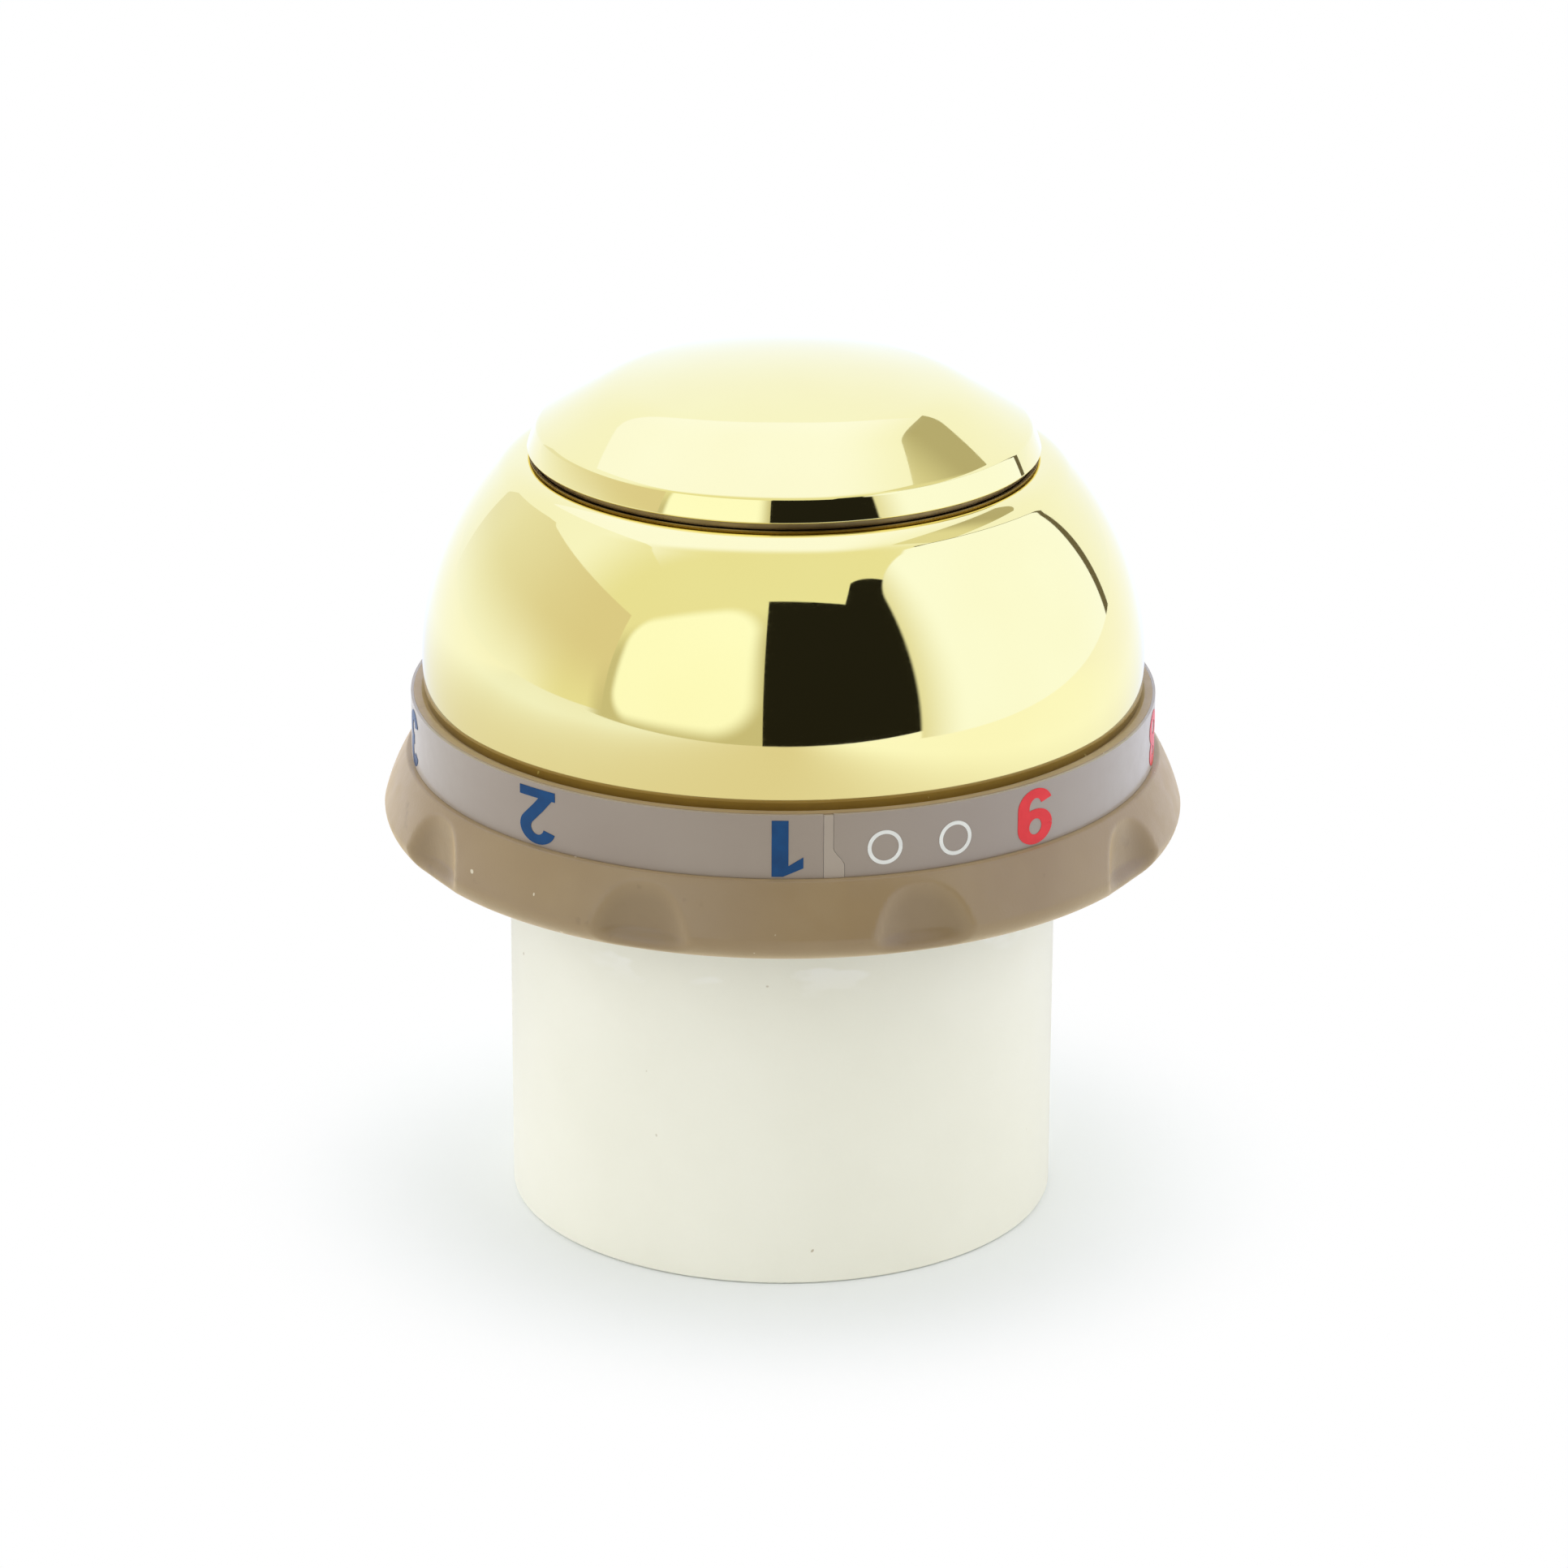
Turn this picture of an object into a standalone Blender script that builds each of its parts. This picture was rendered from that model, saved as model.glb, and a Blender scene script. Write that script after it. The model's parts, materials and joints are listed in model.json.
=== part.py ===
"""Wall-mounted mixing-valve control knob.

A fixed sleeve carries a temperature dial with a number band. A brass dome knob above it turns the
flow stem, and a brass cap covers the knob's screw. All axes lie on +Z. The origin is the centre of
the sleeve's foot, where it meets the wall. Lengths are in millimetres and MM turns them to metres.
Bearings are degrees from -Y towards +X.
"""

from math import cos, pi, radians, sin, sqrt

import bmesh
import bpy
from mathutils import Matrix, Vector

MM = 0.001

# Clearances
SEAT_GAP = 0.3
O_RING_GAP = 0.15
BAND_GAP = 0.08

# Mounting sleeve
SLEEVE_RADIUS = 21.8
SLEEVE_WALL = 2.3
SLEEVE_HEIGHT = 34.6
SLEEVE_WEB = 2.6
SLEEVE_EDGE = 0.5
FOOT_RING_LOW = 5.0
FOOT_RING_PITCH = 5.0
FOOT_RING_SECTION = 0.9
FOOT_RING_PROUD = 0.8

# Mounting screws
SCREW_OUTSET = 0.45
SCREW_SHANK = 1.7
SCREW_HEAD = 3.2
SCREW_HEAD_HEIGHT = 1.6
SCREW_LENGTH = 24.0
SCREW_SLOT = 0.9
SCREW_SLOT_DEPTH = 0.9

# Bearing bush in the sleeve's web
BUSH_WALL = 1.9
BUSH_FLANGE = 0.9
BUSH_FLANGE_LAP = 1.6
BUSH_DROP = 4.0

# Dial hub, its clips, washer and friction ring
HUB_WALL = 3.2
HUB_LENGTH = 22.8
HUB_SHOULDER = 1.7
HUB_SHOULDER_STEP = 3.4
HUB_SPLINE_DEPTH = 0.7
SHOULDER_TEETH = 15
DRIVE_LUGS = 6
HUB_TOP_LAND = 0.6
HUB_DOG_WIDTH = 4.0
HUB_DOG_DEPTH = 4.0
CLIP_THICKNESS = 0.8
CLIP_GROOVE = 1.0
CLIP_WIDTH = 3.0
CLIP_MOUTH = 36.0
WASHER_THICKNESS = 0.8
WASHER_WIDTH = 2.6
DRAG_RING_SECTION = 0.6

# Hot-limit stop
STOP_RING_WIDTH = 1.6
STOP_TAB_REACH = 3.2
STOP_TAB_ARC = 18.5
STOP_POST_ARC = 18.5
STOP_POST_BEARING = 180.0
STOP_FREE_ARC = 1.5

# Temperature grip ring
RING_FLARE = 1.79
RING_FOOT_TUCK = 2.12
RING_FOOT_ROUND = 1.95
RING_LEDGE = 0.43
RING_WEB = 2.0
RING_SKIRT_DROP = 7.15
RING_SKIRT_WALL = 2.3
RING_FLARE_BULGE = 0.18
LIP_RISE = 2.2
LIP_WALL = 0.5
RIB_WIDTH = 1.2
RIB_DEPTH = 4.0
RIB_CLEAR = 1.2
SCALLOP_COUNT = 9
SCALLOP_ROUND = 5.6
SCALLOP_DEPTH = 1.35
SCALLOP_FIRST = 20.0

# Number band and its key
BAND_RADIUS = 29.5
BAND_HEIGHT = 5.1
BAND_THICKNESS = 0.22
KEY_BEARING = 7.4
KEY_WIDTH = 0.8
KEY_FLARE = 1.6

# Flow stem, its clip, washer and seals
STEM_RADIUS = 6.0
STEM_TAIL = 8.0
STEM_SPLINE_RADIUS = 4.8
STEM_SPLINE_DEPTH = 0.6
STEM_TANG = 7.0
STEM_TANG_LENGTH = 5.0
STEM_CLIP_WIDTH = 2.0
STEM_WASHER_WIDTH = 1.4
STEM_SEAL_LOW = 5.0
STEM_SEAL_PITCH = 9.0
STEM_SEAL_SECTION = 0.55
SPLINE_TEETH = 12

# Knob insert
KNOB_GAP = 0.4
BOSS_RADIUS = 8.2
BOSS_HEIGHT = 10.8
WELL_FLOOR = 2.0
WELL_WALL = 1.6
INSERT_DISC_RISE = 2.8
INSERT_DISC = 1.6
INSERT_RIBS = 6
INSERT_RIB_WIDTH = 1.4

# Knob screw and lock washer
KNOB_SCREW_SHANK = 1.9
KNOB_SCREW_HEAD = 3.9
KNOB_SCREW_HEAD_HEIGHT = 2.4
KNOB_SCREW_REACH = 9.0
LOCK_WASHER_RADIUS = 4.6
LOCK_WASHER = 0.9
LOCK_WASHER_SPLIT = 14.0

# Brass dome
DOME_CLEAR = 0.45
DOME_RISE = 25.25
DOME_SKIRT = 2.65
DOME_WALL = 1.1
DOME_SINK = 0.2
DOME_BEAD = 0.5

# Brass screw cap and its plug
CAP_REVEAL = 0.35
CAP_SLIT = 0.7
CAP_RADIUS = 20.2
CAP_SIDE_RADIUS = 19.45
CAP_SIDE_RISE = 1.67
CAP_CROWN_RADIUS = 13.1
CAP_SHOULDER_RISE = 3.68
CAP_SHOULDER_BULGE = 0.22
CAP_CROWN_RISE = 1.42
CAP_WALL = 1.2
PLUG_DISC = 1.1
SPIGOT_RADIUS = 10.8
SPIGOT_WALL = 2.2
SPIGOT_LENGTH = 5.5
SPIGOT_SEAL_SECTION = 0.6

# Facets round each size of piece
RING_STEPS = 54
DOME_STEPS = 54
SLEEVE_STEPS = 40
CORE_STEPS = 30
SMALL_STEPS = 20
SCREW_STEPS = 12
SECTION_STEPS = 6
SCALLOP_STEPS = 20

# Radii out from the axis
sleeve_bore = SLEEVE_RADIUS - SLEEVE_WALL
hub_bore = STEM_RADIUS + SEAT_GAP
hub_radius = hub_bore + HUB_WALL
bush_bore = hub_radius + SEAT_GAP
bush_radius = bush_bore + BUSH_WALL
web_bore = bush_radius + SEAT_GAP
screw_circle = (web_bore + sleeve_bore) / 2 + SCREW_OUTSET
shoulder_root = hub_radius + HUB_SHOULDER_STEP
stop_ring_radius = shoulder_root + HUB_SPLINE_DEPTH + SEAT_GAP + STOP_RING_WIDTH
stop_tab_radius = stop_ring_radius + STOP_TAB_REACH
lip_radius = BAND_RADIUS - BAND_THICKNESS - BAND_GAP
lip_bore = lip_radius - LIP_WALL
ring_shoulder_radius = BAND_RADIUS + RING_LEDGE
ring_radius = ring_shoulder_radius + RING_FLARE
ring_foot_radius = ring_radius - RING_FOOT_TUCK
dome_radius = lip_bore - DOME_CLEAR
dome_opening = CAP_RADIUS + CAP_SLIT
well_radius = SPIGOT_RADIUS + SEAT_GAP

# Levels up the axis, from the sleeve's web to the cap
web_bottom = SLEEVE_HEIGHT - SLEEVE_WEB
bush_seat = SLEEVE_HEIGHT + SEAT_GAP
bush_top = bush_seat + BUSH_FLANGE
bush_bottom = web_bottom - BUSH_DROP
shoulder_bottom = bush_top + SEAT_GAP
shoulder_top = shoulder_bottom + HUB_SHOULDER
ring_web_bottom = shoulder_top + SEAT_GAP
ring_web_top = ring_web_bottom + RING_WEB
upper_clip_bottom = ring_web_top + SEAT_GAP
upper_clip_top = upper_clip_bottom + CLIP_THICKNESS
hub_top = upper_clip_top + HUB_TOP_LAND
hub_bottom = hub_top - HUB_LENGTH
hub_washer_top = bush_bottom - SEAT_GAP
hub_washer_bottom = hub_washer_top - WASHER_THICKNESS
lower_clip_top = hub_washer_bottom - SEAT_GAP
lower_clip_bottom = lower_clip_top - CLIP_THICKNESS
skirt_bottom = ring_web_bottom - RING_SKIRT_DROP
lip_top = ring_web_top + LIP_RISE
band_top = lip_top
band_bottom = band_top - BAND_HEIGHT
flare_top = band_bottom - BAND_GAP
stem_washer_top = hub_bottom - SEAT_GAP
stem_washer_bottom = stem_washer_top - WASHER_THICKNESS
stem_clip_top = stem_washer_bottom - SEAT_GAP
stem_clip_bottom = stem_clip_top - CLIP_THICKNESS
stem_bottom = hub_bottom - STEM_TAIL
boss_bottom = hub_top + KNOB_GAP
well_bottom = boss_bottom + BOSS_HEIGHT
socket_top = well_bottom - WELL_FLOOR
stem_top = socket_top - SEAT_GAP
lock_washer_bottom = well_bottom + SEAT_GAP
lock_washer_top = lock_washer_bottom + LOCK_WASHER
knob_head_bottom = lock_washer_top + SEAT_GAP
dome_base = lip_top - DOME_SINK
dome_centre = dome_base + DOME_SKIRT
dome_top = dome_centre + DOME_RISE * sqrt(1 - (dome_opening / dome_radius) ** 2)
cap_base = dome_top + CAP_REVEAL
cap_shoulder = cap_base + CAP_SIDE_RISE
cap_crown = cap_shoulder + CAP_SHOULDER_RISE
cap_top = cap_crown + CAP_CROWN_RISE
insert_top = cap_base - 2 * SEAT_GAP
spigot_bottom = cap_base - SPIGOT_LENGTH

# Colours as seen, with roughness and metallic value
FINISHES = {
    "white": ((240, 240, 228), 0.55, 0.0),
    "taupe": ((140, 119, 92), 0.5, 0.0),
    "band": ((154, 143, 126), 0.45, 0.0),
    "brass": ((229, 205, 130), 0.12, 1.0),
    "raw_brass": ((200, 168, 96), 0.35, 1.0),
    "steel": ((180, 182, 186), 0.3, 1.0),
    "acetal": ((232, 230, 222), 0.5, 0.0),
    "moulding": ((58, 54, 50), 0.6, 0.0),
    "rubber": ((28, 28, 28), 0.8, 0.0),
}


def linear(channel):
    """One colour channel, 0 to 255 as seen, as a linear value."""
    value = channel / 255
    return value / 12.92 if value <= 0.04045 else ((value + 0.055) / 1.055) ** 2.4


def material(node, finish):
    """A Principled material for one piece."""
    colour, roughness, metallic = FINISHES[finish]
    made = bpy.data.materials.new(node + "_" + finish)
    made.use_nodes = True
    shader = made.node_tree.nodes["Principled BSDF"]
    shader.inputs["Base Color"].default_value = [linear(c) for c in colour] + [1.0]
    shader.inputs["Roughness"].default_value = roughness
    shader.inputs["Metallic"].default_value = metallic
    return made


def add_object(name, bm):
    """Turn a bmesh into a smooth-shaded object."""
    bmesh.ops.recalc_face_normals(bm, faces=bm.faces)
    mesh = bpy.data.meshes.new(name)
    bm.to_mesh(mesh)
    bm.free()
    mesh.shade_smooth()
    mesh.set_sharp_from_angle(angle=radians(30))
    made = bpy.data.objects.new(name, mesh)
    bpy.context.collection.objects.link(made)
    return made


def place(made, finish, body):
    """Give a piece its material and the empty it turns with."""
    made.data.materials.append(material(made.name, finish))
    made.parent = body
    return made


def bearing_point(bearing, radius, level):
    """A point in metres at a bearing, a radius and a level."""
    angle = radians(bearing)
    return Vector((radius * sin(angle), -radius * cos(angle), level)) * MM


def revolve(name, profile, steps, start=0.0, sweep=360.0):
    """Turn a closed profile of (radius, level) points about the axis."""
    bm = bmesh.new()
    points = [bm.verts.new(bearing_point(start, r, z)) for r, z in profile]
    count = len(points)
    edges = []
    for i in range(count):
        on_axis = profile[i][0] == 0 and profile[(i + 1) % count][0] == 0
        if not on_axis:
            edges.append(bm.edges.new((points[i], points[(i + 1) % count])))
    whole = sweep >= 360.0
    bmesh.ops.spin(
        bm,
        geom=points + edges,
        cent=(0, 0, 0),
        axis=(0, 0, 1),
        angle=radians(sweep),
        steps=steps,
        use_merge=whole,
    )
    bmesh.ops.remove_doubles(bm, verts=bm.verts, dist=1e-7)
    if not whole:
        rim = [edge for edge in bm.edges if edge.is_boundary]
        bmesh.ops.holes_fill(bm, edges=rim, sides=0)
    return add_object(name, bm)


def extruded(bm, corners, offset):
    """Add a prism: a face on the corners, extruded by an offset."""
    face = bm.faces.new([bm.verts.new(corner) for corner in corners])
    grown = bmesh.ops.extrude_face_region(bm, geom=[face], use_keep_orig=True)
    moved = [item for item in grown["geom"] if isinstance(item, bmesh.types.BMVert)]
    bmesh.ops.translate(bm, verts=moved, vec=offset)


def upright_prism(name, outline, low, high):
    """Extrude an outline of (bearing, radius) points between two levels."""
    bm = bmesh.new()
    corners = [bearing_point(bearing, radius, low) for bearing, radius in outline]
    extruded(bm, corners, Vector((0, 0, (high - low) * MM)))
    return add_object(name, bm)


def sector(name, inner, outer, start, end, low, high, steps=4):
    """A slice of a flat ring between two bearings."""
    sweep = end - start
    outline = [(start + sweep * i / steps, outer) for i in range(steps + 1)]
    outline += [(end - sweep * i / steps, inner) for i in range(steps + 1)]
    return upright_prism(name, outline, low, high)


def spline(name, teeth, root, depth, grow, low, high):
    """A toothed prism. grow widens it all round, for a socket that clears it."""
    pitch = 360 / teeth
    root_half = pitch * 0.30 + grow / root * 180 / pi
    tip_half = pitch * 0.18 + grow / root * 180 / pi
    outline = []
    for i in range(teeth):
        middle = i * pitch
        outline.append((middle - root_half, root + grow))
        outline.append((middle - tip_half, root + depth + grow))
        outline.append((middle + tip_half, root + depth + grow))
        outline.append((middle + root_half, root + grow))
    return upright_prism(name, outline, low, high)


def radial_plates(name, outline, width, bearings):
    """Flat plates, one at each bearing, from an outline of (radius, level) points."""
    bm = bmesh.new()
    for bearing in bearings:
        along = bearing_point(bearing + 90, width, 0)
        corners = [bearing_point(bearing, r, z) - along / 2 for r, z in outline]
        extruded(bm, corners, along)
    return add_object(name, bm)


def block(name, size, centre):
    """A plain box, in millimetres."""
    bm = bmesh.new()
    bmesh.ops.create_cube(bm, size=1.0)
    bmesh.ops.scale(bm, verts=bm.verts, vec=Vector(size) * MM)
    bmesh.ops.translate(bm, verts=bm.verts, vec=Vector(centre) * MM)
    return add_object(name, bm)


def combine(target, tool, operation):
    """Add a Boolean to a piece and hide its tool."""
    tool.hide_render = True
    tool.display_type = "WIRE"
    tool.parent = target.parent
    modifier = target.modifiers.new(tool.name, "BOOLEAN")
    modifier.operation = operation
    modifier.object = tool
    modifier.solver = "EXACT"


def circle_profile(radius, level, section, steps=SECTION_STEPS):
    """A round section centred at a radius and a level."""
    turns = [2 * pi * (i + 0.5) / steps for i in range(steps)]
    return [(radius + section * cos(t), level + section * sin(t)) for t in turns]


def box_profile(inner, outer, low, high):
    """A rectangular section."""
    return [(inner, high), (outer, high), (outer, low), (inner, low)]


def bulged(first, last, bulge, steps):
    """Points from first to last on a shallow arc, bulge out from the middle, without last."""
    across = Vector((last[0] - first[0], last[1] - first[1]))
    outward = Vector((-across.y, across.x)).normalized()
    points = []
    for i in range(steps):
        share = i / steps
        spot = Vector(first) + across * share + outward * bulge * 4 * share * (1 - share)
        points.append((spot.x, spot.y))
    return points


def dome_radius_at(level, inset):
    """Radius of the dome's ellipse at a level, set in from the outside."""
    share = (level - dome_centre) / (DOME_RISE - inset)
    return (dome_radius - inset) * sqrt(1 - share * share)


for old in list(bpy.data.objects):
    bpy.data.objects.remove(old, do_unlink=True)


def body_empty(name):
    """An empty on the axis that one moving body hangs from."""
    made = bpy.data.objects.new(name, None)
    bpy.context.collection.objects.link(made)
    return made


mount = body_empty("mount_axis")
dial = body_empty("dial_axis")
knob = body_empty("knob_axis")
cap = body_empty("cap_axis")
dial.parent = mount
knob.parent = mount
cap.parent = knob

# Mounting sleeve with grooves at the foot and a web at the top
foot_levels = [FOOT_RING_LOW, FOOT_RING_LOW + FOOT_RING_PITCH]
foot_ring_radius = sleeve_bore - FOOT_RING_PROUD + FOOT_RING_SECTION
foot_groove = foot_ring_radius + FOOT_RING_SECTION + O_RING_GAP
foot_groove_half = FOOT_RING_SECTION + O_RING_GAP
sleeve_profile = [
    (web_bore, SLEEVE_HEIGHT),
    (SLEEVE_RADIUS - SLEEVE_EDGE, SLEEVE_HEIGHT),
    (SLEEVE_RADIUS, SLEEVE_HEIGHT - SLEEVE_EDGE),
    (SLEEVE_RADIUS, 0),
    (sleeve_bore, 0),
]
for level in foot_levels:
    sleeve_profile += [
        (sleeve_bore, level - foot_groove_half),
        (foot_groove, level - foot_groove_half),
        (foot_groove, level + foot_groove_half),
        (sleeve_bore, level + foot_groove_half),
    ]
sleeve_profile += [(sleeve_bore, web_bottom), (web_bore, web_bottom)]
sleeve = place(revolve("mounting_sleeve", sleeve_profile, SLEEVE_STEPS), "white", mount)

post_start = STOP_POST_BEARING - STOP_POST_ARC / 2
post_end = STOP_POST_BEARING + STOP_POST_ARC / 2
post_inner = stop_ring_radius + 2 * SEAT_GAP
stop_post = sector(
    "stop_post_tool",
    post_inner,
    stop_tab_radius,
    post_start,
    post_end,
    SLEEVE_HEIGHT - SLEEVE_WEB / 2,
    shoulder_top,
)
combine(sleeve, stop_post, "UNION")

screw_top = SLEEVE_HEIGHT - SEAT_GAP
screw_neck = screw_top - SCREW_HEAD_HEIGHT
screw_tip = screw_top - SCREW_LENGTH
hole_profile = [
    (0, SLEEVE_HEIGHT + 1),
    (SCREW_HEAD + SEAT_GAP, SLEEVE_HEIGHT + 1),
    (SCREW_HEAD + SEAT_GAP, screw_top),
    (SCREW_SHANK + SEAT_GAP, screw_neck - SEAT_GAP / 2),
    (SCREW_SHANK + SEAT_GAP, web_bottom - 1),
    (0, web_bottom - 1),
]
screw_profile = [
    (0, screw_top),
    (SCREW_HEAD, screw_top),
    (SCREW_SHANK, screw_neck),
    (SCREW_SHANK, screw_tip + SCREW_SHANK),
    (SCREW_SHANK * 0.4, screw_tip),
    (0, screw_tip),
]
slot_centre = (0, 0, screw_top - SCREW_SLOT_DEPTH / 2 + 0.5)
for side, x in (("left", -screw_circle), ("right", screw_circle)):
    hole = revolve("screw_hole_tool_" + side, hole_profile, SCREW_STEPS)
    hole.location.x = x * MM
    combine(sleeve, hole, "DIFFERENCE")
    screw = place(revolve("mounting_screw_" + side, screw_profile, SCREW_STEPS), "steel", mount)
    screw.location.x = x * MM
    slot_size = (SCREW_HEAD * 3, SCREW_SLOT, SCREW_SLOT_DEPTH + 1)
    slot = block("screw_slot_tool_" + side, slot_size, slot_centre)
    combine(screw, slot, "DIFFERENCE")
    slot.location.x = x * MM

for side, level in zip(("lower", "upper"), foot_levels):
    ring_profile = circle_profile(foot_ring_radius, level, FOOT_RING_SECTION)
    place(revolve("sleeve_o_ring_" + side, ring_profile, SLEEVE_STEPS), "rubber", mount)

bush_profile = [
    (bush_bore, bush_top),
    (web_bore + BUSH_FLANGE_LAP, bush_top),
    (web_bore + BUSH_FLANGE_LAP, bush_seat),
    (bush_radius, bush_seat),
    (bush_radius, bush_bottom),
    (bush_bore, bush_bottom),
]
place(revolve("bearing_bush", bush_profile, CORE_STEPS), "acetal", mount)

# Dial hub: a sleeve with a splined shoulder, clip grooves and a dog end
clip_floor = hub_radius - CLIP_GROOVE
drag_level = (web_bottom + SLEEVE_HEIGHT) / 2
drag_radius = bush_bore - O_RING_GAP - DRAG_RING_SECTION
drag_floor = drag_radius - DRAG_RING_SECTION - O_RING_GAP
drag_half = DRAG_RING_SECTION + O_RING_GAP
hub_profile = [
    (hub_bore, hub_top),
    (hub_radius, hub_top),
    (hub_radius, upper_clip_top + O_RING_GAP),
    (clip_floor, upper_clip_top + O_RING_GAP),
    (clip_floor, upper_clip_bottom - O_RING_GAP),
    (hub_radius, upper_clip_bottom - O_RING_GAP),
    (hub_radius, drag_level + drag_half),
    (drag_floor, drag_level + drag_half),
    (drag_floor, drag_level - drag_half),
    (hub_radius, drag_level - drag_half),
    (hub_radius, lower_clip_top + O_RING_GAP),
    (clip_floor, lower_clip_top + O_RING_GAP),
    (clip_floor, lower_clip_bottom - O_RING_GAP),
    (hub_radius, lower_clip_bottom - O_RING_GAP),
    (hub_radius, hub_bottom),
    (hub_bore, hub_bottom),
]
hub = place(revolve("dial_hub", hub_profile, CORE_STEPS), "raw_brass", dial)
shoulder = spline(
    "hub_shoulder_tool",
    SHOULDER_TEETH,
    shoulder_root,
    HUB_SPLINE_DEPTH,
    0,
    shoulder_bottom,
    shoulder_top,
)
ring_drive = spline(
    "hub_drive_tool",
    DRIVE_LUGS,
    hub_radius,
    HUB_SPLINE_DEPTH,
    0,
    shoulder_bottom + HUB_SHOULDER / 2,
    ring_web_top - SEAT_GAP,
)
hub_bore_tool = revolve(
    "hub_bore_tool",
    [(0, hub_top + 1), (hub_bore, hub_top + 1), (hub_bore, hub_bottom - 1), (0, hub_bottom - 1)],
    CORE_STEPS,
)
dog_size = (3 * hub_radius, HUB_DOG_WIDTH, 2 * HUB_DOG_DEPTH)
dog_slot = block("hub_dog_tool", dog_size, (0, 0, hub_bottom))
combine(hub, shoulder, "UNION")
combine(hub, ring_drive, "UNION")
combine(hub, hub_bore_tool, "DIFFERENCE")
combine(hub, dog_slot, "DIFFERENCE")

clip_bore = clip_floor + SEAT_GAP
clip_sweep = 360 - CLIP_MOUTH
clip_levels = {
    "hub_clip_upper": (upper_clip_bottom, upper_clip_top),
    "hub_clip_lower": (lower_clip_bottom, lower_clip_top),
}
for name, (low, high) in clip_levels.items():
    clip_profile = box_profile(clip_bore, clip_bore + CLIP_WIDTH, low, high)
    clip = revolve(name, clip_profile, SMALL_STEPS, CLIP_MOUTH / 2, clip_sweep)
    place(clip, "steel", dial)

hub_washer_profile = box_profile(bush_bore, bush_bore + WASHER_WIDTH, hub_washer_bottom, hub_washer_top)
place(revolve("hub_thrust_washer", hub_washer_profile, CORE_STEPS), "acetal", dial)
drag_profile = circle_profile(drag_radius, drag_level, DRAG_RING_SECTION)
place(revolve("hub_o_ring", drag_profile, CORE_STEPS), "rubber", dial)

# Hot-limit stop ring, keyed to the hub's shoulder by its teeth
stop_profile = box_profile(shoulder_root - 1, stop_ring_radius, shoulder_bottom, shoulder_top)
stop_ring = place(revolve("limit_stop_ring", stop_profile, CORE_STEPS), "moulding", dial)
tab_start = post_end + STOP_FREE_ARC
tab = sector(
    "stop_tab_tool",
    stop_ring_radius - STOP_RING_WIDTH / 2,
    stop_tab_radius,
    tab_start,
    tab_start + STOP_TAB_ARC,
    shoulder_bottom,
    shoulder_top,
)
stop_socket = spline(
    "stop_socket_tool",
    SHOULDER_TEETH,
    shoulder_root,
    HUB_SPLINE_DEPTH,
    SEAT_GAP,
    shoulder_bottom - 1,
    shoulder_top + 1,
)
combine(stop_ring, tab, "UNION")
combine(stop_ring, stop_socket, "DIFFERENCE")

# Grip ring: lip, band seat, flared skirt, web with a toothed hole, ribs and scallops
widest_level = skirt_bottom + RING_FOOT_ROUND
foot_steps = 3
ring_profile = [(lip_bore, lip_top), (lip_radius, lip_top), (lip_radius, flare_top)]
ring_profile += bulged((ring_shoulder_radius, flare_top), (ring_radius, widest_level), RING_FLARE_BULGE, 4)
for i in range(foot_steps + 1):
    turn = pi / 2 * i / foot_steps
    round_r = ring_foot_radius + (ring_radius - ring_foot_radius) * cos(turn)
    ring_profile.append((round_r, widest_level - RING_FOOT_ROUND * sin(turn)))
skirt_inner_low = ring_foot_radius - RING_SKIRT_WALL / 2
skirt_inner_high = ring_shoulder_radius - RING_SKIRT_WALL
ring_hole = hub_radius - 1
ring_profile += [
    (skirt_inner_low, skirt_bottom),
    (skirt_inner_high, ring_web_bottom),
    (ring_hole, ring_web_bottom),
    (ring_hole, ring_web_top),
    (lip_bore - LIP_RISE / 2, ring_web_top),
    (lip_bore, ring_web_top + LIP_RISE / 2),
]
ring = place(revolve("grip_ring", ring_profile, RING_STEPS), "taupe", dial)

rib_inner = SLEEVE_RADIUS + RIB_CLEAR
rib_low = ring_web_bottom - RIB_DEPTH
rib_outline = [
    (rib_inner, ring_web_bottom + RING_WEB / 4),
    (skirt_inner_high + 1, ring_web_bottom + RING_WEB / 4),
    (skirt_inner_low + RING_SKIRT_WALL / 2, rib_low),
    (skirt_inner_low + RING_SKIRT_WALL / 4, rib_low),
    (rib_inner, ring_web_bottom - RIB_WIDTH),
]
pitch = 360 / SCALLOP_COUNT
rib_bearings = [SCALLOP_FIRST + pitch * (i + 0.5) for i in range(SCALLOP_COUNT)]
combine(ring, radial_plates("ring_rib_tool", rib_outline, RIB_WIDTH, rib_bearings), "UNION")

key_top = lip_top - SEAT_GAP
key_foot = flare_top - KEY_WIDTH
key_outline = [
    (-KEY_WIDTH / 2, key_top),
    (-KEY_WIDTH / 2, key_foot),
    (KEY_FLARE - KEY_WIDTH / 2, key_foot),
    (KEY_FLARE - KEY_WIDTH / 2, band_bottom + KEY_WIDTH / 2),
    (KEY_WIDTH / 2, band_bottom + KEY_FLARE),
    (KEY_WIDTH / 2, key_top),
]
key_inner = lip_radius - LIP_WALL / 2
key_along = bearing_point(KEY_BEARING + 90, 1, 0)
key_bm = bmesh.new()
key_corners = [bearing_point(KEY_BEARING, key_inner, z) + key_along * s for s, z in key_outline]
key_reach = BAND_RADIUS - BAND_GAP - key_inner
extruded(key_bm, key_corners, bearing_point(KEY_BEARING, key_reach, 0))
combine(ring, add_object("band_key_tool", key_bm), "UNION")

ring_socket = spline(
    "ring_socket_tool",
    DRIVE_LUGS,
    hub_radius,
    HUB_SPLINE_DEPTH,
    SEAT_GAP,
    ring_web_bottom - 1,
    ring_web_top + 1,
)
combine(ring, ring_socket, "DIFFERENCE")

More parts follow.
